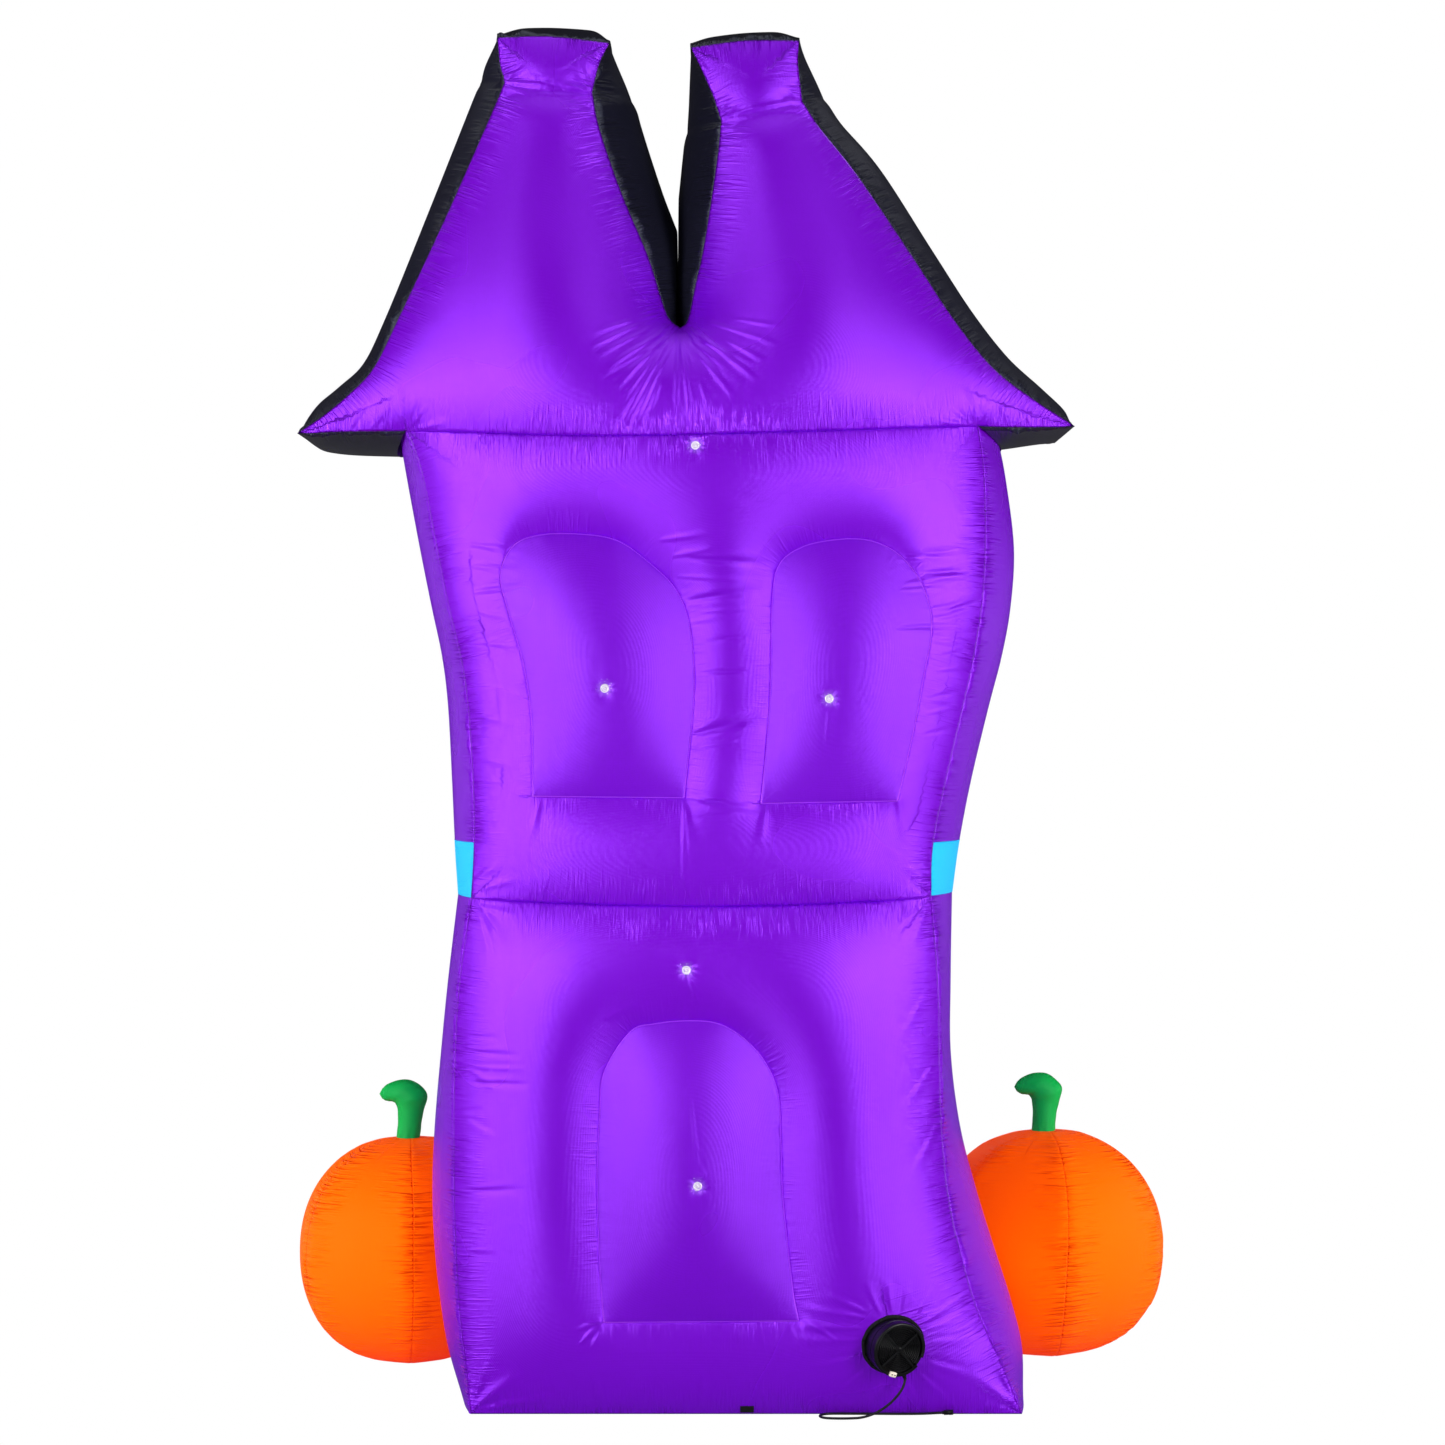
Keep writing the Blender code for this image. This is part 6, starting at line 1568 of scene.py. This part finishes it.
# %% [markdown]
# ## Hard finishes
# The moulded parts want a fine pebble grain and edges that catch a little light. The lamp lenses
# let a part of the light through, which the shader's own transmission does, and a clear coat gives
# them their glint.

# %% Moulded grain
def make_moulded_grain():
    """Pebble grain of moulded plastic, with slow mottling."""
    tree, given, result = effect_group(
        "moulded_grain",
        {"Plastic Colour": MID_GREY, "Grain Scale": 900.0, "Gloss Low": 0.35, "Gloss High": 0.55},
        {"Colour": COLOUR, "Roughness": FLOAT, "Height": FLOAT})
    pebble = node(tree, "TexVoronoi", {"Vector": own_place(tree), "Scale": given["Grain Scale"]},
                  feature="SMOOTH_F1")
    slow = stretched_noise(tree, (40.0, 40.0, 40.0), 4.0)
    gain = joined(tree, "MULTIPLY_ADD", slow, 0.5, 0.75)
    feed(tree, result, {
        "Colour": scaled_colour(tree, given["Plastic Colour"], gain), "Height": pebble.outputs["Distance"],
        "Roughness": ramped(tree, slow, 0.3, 0.7, given["Gloss Low"], given["Gloss High"], "LINEAR")})
    return tree


moulded_grain = make_moulded_grain()


# %% Moulded plastic, rubber, lens and webbing
LENS_TINT = (0.93, 0.86, 1.0, 1.0)
WEBBING_THREAD, WEBBING_HEIGHT = 0.0011, 0.00012


def moulded_finish(name, colour, gloss, grain_depth, level=0.5):
    """A moulded plastic or rubber finish."""
    finish, tree, slots = new_finish(name)
    grain = placed_group(tree, moulded_grain, {
        "Plastic Colour": (*colour, 1.0), "Gloss Low": gloss[0], "Gloss High": gloss[1]})
    feed(tree, slots, {
        "Base Color": grain["Colour"], "Roughness": grain["Roughness"], "Specular IOR Level": level,
        "Normal": bumped(tree, product(tree, grain["Height"], grain_depth))})
    return finish


black_plastic = moulded_finish("black_plastic", (0.003, 0.003, 0.004), (0.3, 0.44), 0.00008, 0.32)
cream_plastic = moulded_finish("cream_plastic", (0.8, 0.72, 0.58), (0.35, 0.5), 0.00008)
cord_rubber = moulded_finish("cord_rubber", (0.005, 0.0045, 0.007), (0.42, 0.55), 0.00005, 0.35)

clear_plastic, lens_tree, lens_slots = new_finish("clear_plastic")
lens_grain = placed_group(lens_tree, moulded_grain, {
    "Plastic Colour": LENS_TINT, "Gloss Low": 0.08, "Gloss High": 0.22})
feed(lens_tree, lens_slots, {
    "Base Color": lens_grain["Colour"], "Roughness": lens_grain["Roughness"], "Transmission Weight": 0.25,
    "IOR": 1.47, "Coat Weight": 0.6})

black_webbing, tape_tree, tape_slots = new_finish("black_webbing")
tape = placed_group(tape_tree, woven_threads, {
    "Cloth Colour": (0.005, 0.005, 0.007, 1.0), "Thread Pitch": WEBBING_THREAD, "Streak Strength": 0.6,
    "Gloss Low": 0.6, "Gloss High": 0.85})
feed(tape_tree, tape_slots, {
    "Base Color": tape["Colour"], "Roughness": tape["Roughness"], "Specular IOR Level": 0.3,
    "Normal": bumped(tape_tree, product(tape_tree, tape["Weave Height"], WEBBING_HEIGHT))})
print("hard finishes ready")

# %% [markdown]
# ## Lamps
# Five small clear lenses shine out through the rear; their light is painted into the cloth round them. Each
# is a low turned disc with a flange, a groove and a dome, seated in the dimple that its fixing pulls into the
# cloth.

# %% Turned parts
def turned_mesh(profile, sides, placement):
    """Points and faces turned about Z from (radius, height) pairs, placed by a matrix."""
    points = []
    rings = []
    for radius, height in profile:
        if radius < 1e-9:
            rings.append([len(points)] * sides)
            points.append(placement @ Vector((0.0, 0.0, height)))
            continue
        rings.append([len(points) + k for k in range(sides)])
        for k in range(sides):
            angle = math.tau * (k + 0.5) / sides
            points.append(placement @ Vector((radius * math.cos(angle), radius * math.sin(angle), height)))
    faces = []
    for ring, following in zip(rings[:-1], rings[1:]):
        for k in range(sides):
            beyond = (k + 1) % sides
            corners = tuple(dict.fromkeys([ring[k], ring[beyond], following[beyond], following[k]]))
            if len(corners) > 2:
                faces.append(corners)
    return points, faces


# %% Lamp lenses
LENS_SEAT = 0.0004
LENS_PROFILE = [(0.0, 0.0), (0.0088, 0.0), (0.0088, 0.0012), (0.0083, 0.002), (0.0072, 0.0024),
                (0.0061, 0.002), (0.0056, 0.001), (0.0052, 0.0006), (0.0034, 0.0006), (0.003, 0.0012),
                (0.0024, 0.0022), (0.0012, 0.0028), (0.0, 0.003)]


def skin_place(skin, side, x, z):
    """Point and outward direction of a swollen skin at (x, z)."""
    near = [index for _, index, _ in point_tree(skin.flat).find_n((x, z, 0.0), 14)]
    terms = np.column_stack([np.ones(len(near)), skin.flat[near] - np.array([x, z])])
    level, slope_x, slope_z = np.linalg.lstsq(terms, skin.heights[near], rcond=None)[0]
    normal = Vector((-float(slope_x), float(side), -float(slope_z))).normalized()
    return Vector((x, side * (SEAM_PLANE + float(level)), z)), normal


for key, (x, z) in LAMP_PLACES.items():
    skin = upper_rear_skin if z > STOREY_SEAM[3][1] else lower_rear_skin
    point, normal = skin_place(skin, -1, x, z)
    points, faces = turned_mesh(LENS_PROFILE, 48, standing_on(point - LENS_SEAT * normal, normal))
    lens = mesh_piece(f"lamp_{key}", points, faces, clear_plastic, sharp=35.0)
    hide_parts(f"light_lens_{key}")
print("lamps", len(LAMP_PLACES))

# %% [markdown]
# ## Blower
# The blower is a moulded drum. Its intake is a cover of thin rings, about 4 mm apart, crossed by
# two bars, with the dark fan just behind. A small cream socket sits on the rim, the lead leaves
# through a bite in the drum's wall, and an elastic black cuff grips the drum.

# %% Blower drum
BLOWER_LENGTH = 0.063
GRILLE_RADIUS = 0.047
GRILLE_RECESS = 0.008
DRUM_PROFILE = [
    (0.0, -BLOWER_LENGTH), (0.052, -BLOWER_LENGTH), (0.054, -0.0615), (BLOWER_RADIUS, -0.059),
    (BLOWER_RADIUS, -0.02), (0.0538, -0.0196), (0.0538, -0.018), (BLOWER_RADIUS, -0.0176),
    (BLOWER_RADIUS, -0.003), (0.0541, -0.0012), (0.053, -0.0003), (0.0515, 0.0), (0.0496, 0.0),
    (0.049, -0.0006), (0.0482, -0.0006), (0.0476, 0.0), (0.0472, -0.0008), (GRILLE_RADIUS, -GRILLE_RECESS),
    (0.0, -GRILLE_RECESS)]
DRUM_SIDES = 96
DRUM_SHARP = 40.0
BITE_ANGLE, BITE_SIZE = -31.0, (0.016, 0.018, 0.018)


def on_rim(angle, radius, out, turned):
    """Placement on the blower at an angle, counted from its right side, seen from behind."""
    turn = math.radians(angle)
    point = blower_frame @ Vector((radius * math.cos(turn), radius * math.sin(turn), out))
    return (Matrix.Translation(point) @ blower_frame.to_3x3().to_4x4()
            @ Matrix.Rotation(math.radians(turned), 4, "Z"))


def rounded_block(size, bevel, placement):
    """Points and faces of a block with rounded edges."""
    work = bmesh.new()
    bmesh.ops.create_cube(work, size=1.0)
    bmesh.ops.scale(work, vec=size, verts=work.verts)
    bmesh.ops.bevel(work, geom=work.edges, offset=bevel, segments=3, affect="EDGES", profile=0.5)
    bmesh.ops.transform(work, verts=work.verts, matrix=placement)
    points = [vertex.co.copy() for vertex in work.verts]
    faces = [tuple(vertex.index for vertex in face.verts) for face in work.faces]
    work.free()
    return points, faces


drum = mesh_piece("blower_drum", *turned_mesh(DRUM_PROFILE, DRUM_SIDES, blower_frame), black_plastic,
                  sharp=DRUM_SHARP)
bite_points, bite_faces = rounded_block(BITE_SIZE, 0.0015, on_rim(BITE_ANGLE, BLOWER_RADIUS, 0.0, BITE_ANGLE))
bite_mesh = bpy.data.meshes.new("bite")
bite_mesh.from_pydata(bite_points, [], bite_faces)
bite = placed("bite", bite_mesh)
cut = drum.modifiers.new("bite", "BOOLEAN")
cut.object = bite
cut.operation = "DIFFERENCE"
cut.solver = "EXACT"
drum_cut = bpy.data.meshes.new_from_object(drum.evaluated_get(bpy.context.evaluated_depsgraph_get()))
drum.modifiers.clear()
drum.data = drum_cut
drum_cut.shade_smooth()
drum_cut.set_sharp_from_angle(angle=math.radians(DRUM_SHARP))
bpy.data.objects.remove(bite)
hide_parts("blower_housing")
print("drum", len(drum_cut.vertices), "points")

# %% Intake cover and fan
SPOKE_ANGLES = (41.0, 131.0)
COVER_PLATE = [(0.0, -0.0078), (0.0468, -0.0078), (0.0468, -0.007), (0.0, -0.007)]
COVER_HUB = [(0.0, -0.0042), (0.005, -0.0042), (0.005, -0.0014), (0.0038, -0.0006), (0.0, -0.0004)]
RING_LOW, RING_HIGH, RING_HALF = -0.004, -0.0012, 0.00075
FIRST_RING, RING_SPACING, RING_COUNT = 0.0065, 0.004, 10
EDGE_EASE = 0.0004
FAN_BLADES = 9
cover_points, cover_faces = [], []


def on_cover(points, faces):
    """Add a part to the cover; its faces count from its own first point."""
    start = len(cover_points)
    cover_points.extend(points)
    cover_faces.extend(tuple(start + k for k in face) for face in faces)


def ring_profile(radius):
    """Closed section of a ring: up one side, over the top and down the other."""
    section = [(-1.0, RING_LOW), (-1.0, RING_HIGH - EDGE_EASE), (-0.5, RING_HIGH), (0.5, RING_HIGH),
               (1.0, RING_HIGH - EDGE_EASE), (1.0, RING_LOW), (-1.0, RING_LOW)]
    return [(radius + share * RING_HALF, height) for share, height in section]


def bar(length, width, low, high, angle, twist=0.0, centre=(0.0, 0.0)):
    """A bar across the cover, with its upper edges eased."""
    half = 0.5 * width
    section = [(-half, low), (-half, high - 0.0005), (-0.75 * half, high), (0.75 * half, high),
               (half, high - 0.0005), (half, low)]
    place = blower_frame @ Matrix.Rotation(math.radians(angle), 4, "Z")
    points = [place @ Vector((centre[0] + end, centre[1] + across + twist * (height - low), height))
              for end in (-0.5 * length, 0.5 * length) for across, height in section]
    number, faces = grid_faces(2, len(section), round_columns=True)
    return points, faces + [tuple(number[0]), tuple(number[1])]


on_cover(*turned_mesh(COVER_PLATE, DRUM_SIDES, blower_frame))
for ring in range(RING_COUNT):
    on_cover(*turned_mesh(ring_profile(FIRST_RING + ring * RING_SPACING), DRUM_SIDES, blower_frame))
on_cover(*turned_mesh(COVER_HUB, 48, blower_frame))
for angle in SPOKE_ANGLES:
    on_cover(*bar(0.0925, 0.004, -0.0046, -0.0004, angle))
for blade in range(FAN_BLADES):
    on_cover(*bar(0.03, 0.005, -0.0069, -0.0054, 40.0 * blade, twist=1.4, centre=(0.027, 0.004)))
cover = mesh_piece("blower_intake_cover", cover_points, cover_faces, black_plastic, sharp=35.0)
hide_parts("blower_grille")
print("cover", len(cover_points), "points")

# %% Socket
SOCKET_ANGLE, SOCKET_SIZE = -107.0, (0.014, 0.01, 0.007)
CONTACT_PROFILE = [(0.0, 0.0), (0.0013, 0.0), (0.0013, 0.0008), (0.0009, 0.0009), (0.0, 0.0004)]
socket_place = on_rim(SOCKET_ANGLE, BLOWER_RADIUS - 0.006, 0.0038, SOCKET_ANGLE + 90.0)
socket_block = rounded_block(SOCKET_SIZE, 0.0016, socket_place)
socket = mesh_piece("blower_socket", *socket_block, cream_plastic, sharp=50.0)
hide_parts("blower_plug")
for k, across in enumerate((-0.0032, 0.0032)):
    contact = turned_mesh(CONTACT_PROFILE, 24, socket_place @ Matrix.Translation((across, 0.0, 0.0033)))
    mesh_piece(f"socket_contact_{k}", *contact, black_plastic, sharp=35.0)

# %% Cuff
CUFF_SIDES = 288
CUFF_RIPPLE = 0.16
CUFF_SECTION = ((-0.0035, -0.004), (-0.003, 0.0022), (-0.0008, 0.004), (0.002, 0.0034), (0.0042, 0.0012),
                (0.0052, -0.003))
cuff_dice = np.random.default_rng(601)
cuff_turn = np.linspace(0.0, math.tau, CUFF_SIDES, endpoint=False)
cuff_ripple = sum(cuff_dice.uniform(0.3, 1.0) * np.sin(rate * cuff_turn + cuff_dice.uniform(0.0, 6.28))
                  for rate in (31, 44, 59, 73))
collar_way = np.concatenate([[0.0], np.cumsum(closed_steps(collar))])
collar_closed = np.vstack([collar, collar[:1]])
collar_tree = point_tree(lower_rear_skin.flat)
cuff_points = []
for k in range(CUFF_SIDES):
    way = collar_way[-1] * k / CUFF_SIDES
    x, z = (float(np.interp(way, collar_way, column)) for column in collar_closed.T)
    outward = np.array([x, z]) - collar.mean(axis=0)
    outward = outward / np.hypot(*outward)
    height = float(lower_rear_skin.heights[collar_tree.find((x, z, 0.0))[1]])
    lift = 1.0 + CUFF_RIPPLE * float(cuff_ripple[k])
    for across, rise in CUFF_SECTION:
        y = -(SEAM_PLANE + height + rise * lift)
        cuff_points.append((x + across * outward[0], y, z + across * outward[1]))
cuff_faces = grid_faces(CUFF_SIDES, len(CUFF_SECTION), round_rows=True, round_columns=True)[1]
cuff = mesh_piece("blower_cuff", cuff_points, cuff_faces, black_webbing,
                  {"seam_off": [FAR_OFF] * len(cuff_points)}, sharp=70.0)
print("blower made")

# %% [markdown]
# ## Cord, connector and webbing tab
# The cord is a curve with a round section. At the drum it passes through a short ribbed strain
# relief, and at its far end a barrel connector with a grip is moulded on. The tab at the house's
# foot is a folded strip of webbing, sewn down through both layers.

# %% Cord
cord_data = bpy.data.curves.new("power_lead", "CURVE")
cord_data.dimensions = "3D"
cord_data.bevel_depth = 0.5 * CORD_DIAMETER
cord_data.bevel_resolution = 5
cord_data.use_fill_caps = True
cord_spline = cord_data.splines.new("POLY")
cord_fine = smooth_line(cord_line, 0.004)
cord_spline.points.add(len(cord_fine) - 1)
for knot, point in zip(cord_spline.points, cord_fine):
    knot.co = (*point, 1.0)
cord_data.materials.append(cord_rubber)
lead = placed("power_lead", cord_data)
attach(lead, "root")
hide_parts("power_cord")

# %% Connector and strain relief
BARREL_SEAT = 0.0003
barrel_profile = [(0.0, 0.0), (0.0028, 0.0), (0.0031, 0.0003), (0.0033, 0.003)]
for ridge in range(4):
    start = 0.0042 + 0.0022 * ridge
    barrel_profile += [(0.0046, start), (0.0051, start + 0.0004), (0.0051, start + 0.0012),
                       (0.0046, start + 0.0016)]
barrel_profile += [(0.005, 0.0136), (0.0052, 0.0142), (0.0052, 0.0214), (0.0047, 0.022), (0.0034, 0.022),
                   (0.003, 0.0216), (0.003, 0.015), (0.0, 0.015)]
relief_profile = [(0.0, -0.004), (0.0052, -0.004), (0.0052, 0.001)]
for ridge in range(4):
    start = 0.0018 + 0.0032 * ridge
    wide = 0.0047 - 0.0004 * ridge
    relief_profile += [(wide - 0.0009, start), (wide, start + 0.0006), (wide, start + 0.0018),
                       (wide - 0.0009, start + 0.0024)]
relief_profile += [(0.0027, 0.0158), (0.0, 0.016)]

cord_start, cord_second, cord_before, cord_end = (Vector(cord_line[k]) for k in (0, 1, -2, -1))
cord_way = (cord_end - cord_before).normalized()
barrel = turned_mesh(barrel_profile, 48, standing_on(cord_end + BARREL_SEAT * cord_way, cord_way))
connector = mesh_piece("barrel_connector", *barrel, black_plastic, sharp=38.0)
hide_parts("cord_connector")
ribbed = turned_mesh(relief_profile, 48, standing_on(cord_start, (cord_second - cord_start).normalized()))
relief = mesh_piece("cord_strain_relief", *ribbed, cord_rubber, sharp=45.0)

# %% Webbing tab
TAB_CENTRE = Vector((0.001988, -0.209192, 0.011508))
TAB_AXIS = Vector((-0.005917, -0.86815, -0.496266))
TAB_SECTION = [(-0.0084, -0.0012), (-0.0084, -0.0003), (0.007, -0.0003), (0.0074, 0.0), (0.007, 0.0003),
               (-0.0084, 0.0003), (-0.0084, 0.0012), (0.0062, 0.0013), (0.008, 0.0008), (0.0085, 0.0),
               (0.008, -0.0008), (0.0062, -0.0013)]
TAB_RIB = 0.00008
tab_place = standing_on(TAB_CENTRE, TAB_AXIS)
tab_columns = np.linspace(-0.0135, 0.0135, 28)
tab_points = [tab_place @ Vector((float(x), -y, z + TAB_RIB * (-1) ** k))
              for k, x in enumerate(tab_columns) for y, z in TAB_SECTION]
tab_number, tab_faces = grid_faces(len(tab_columns), len(TAB_SECTION), round_columns=True)
tab_faces += [tuple(tab_number[0]), tuple(tab_number[-1])]
tab = mesh_piece("webbing_tab", tab_points, tab_faces, black_webbing, sharp=60.0)
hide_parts("stake_tab")
print("cord, connector and tab made")
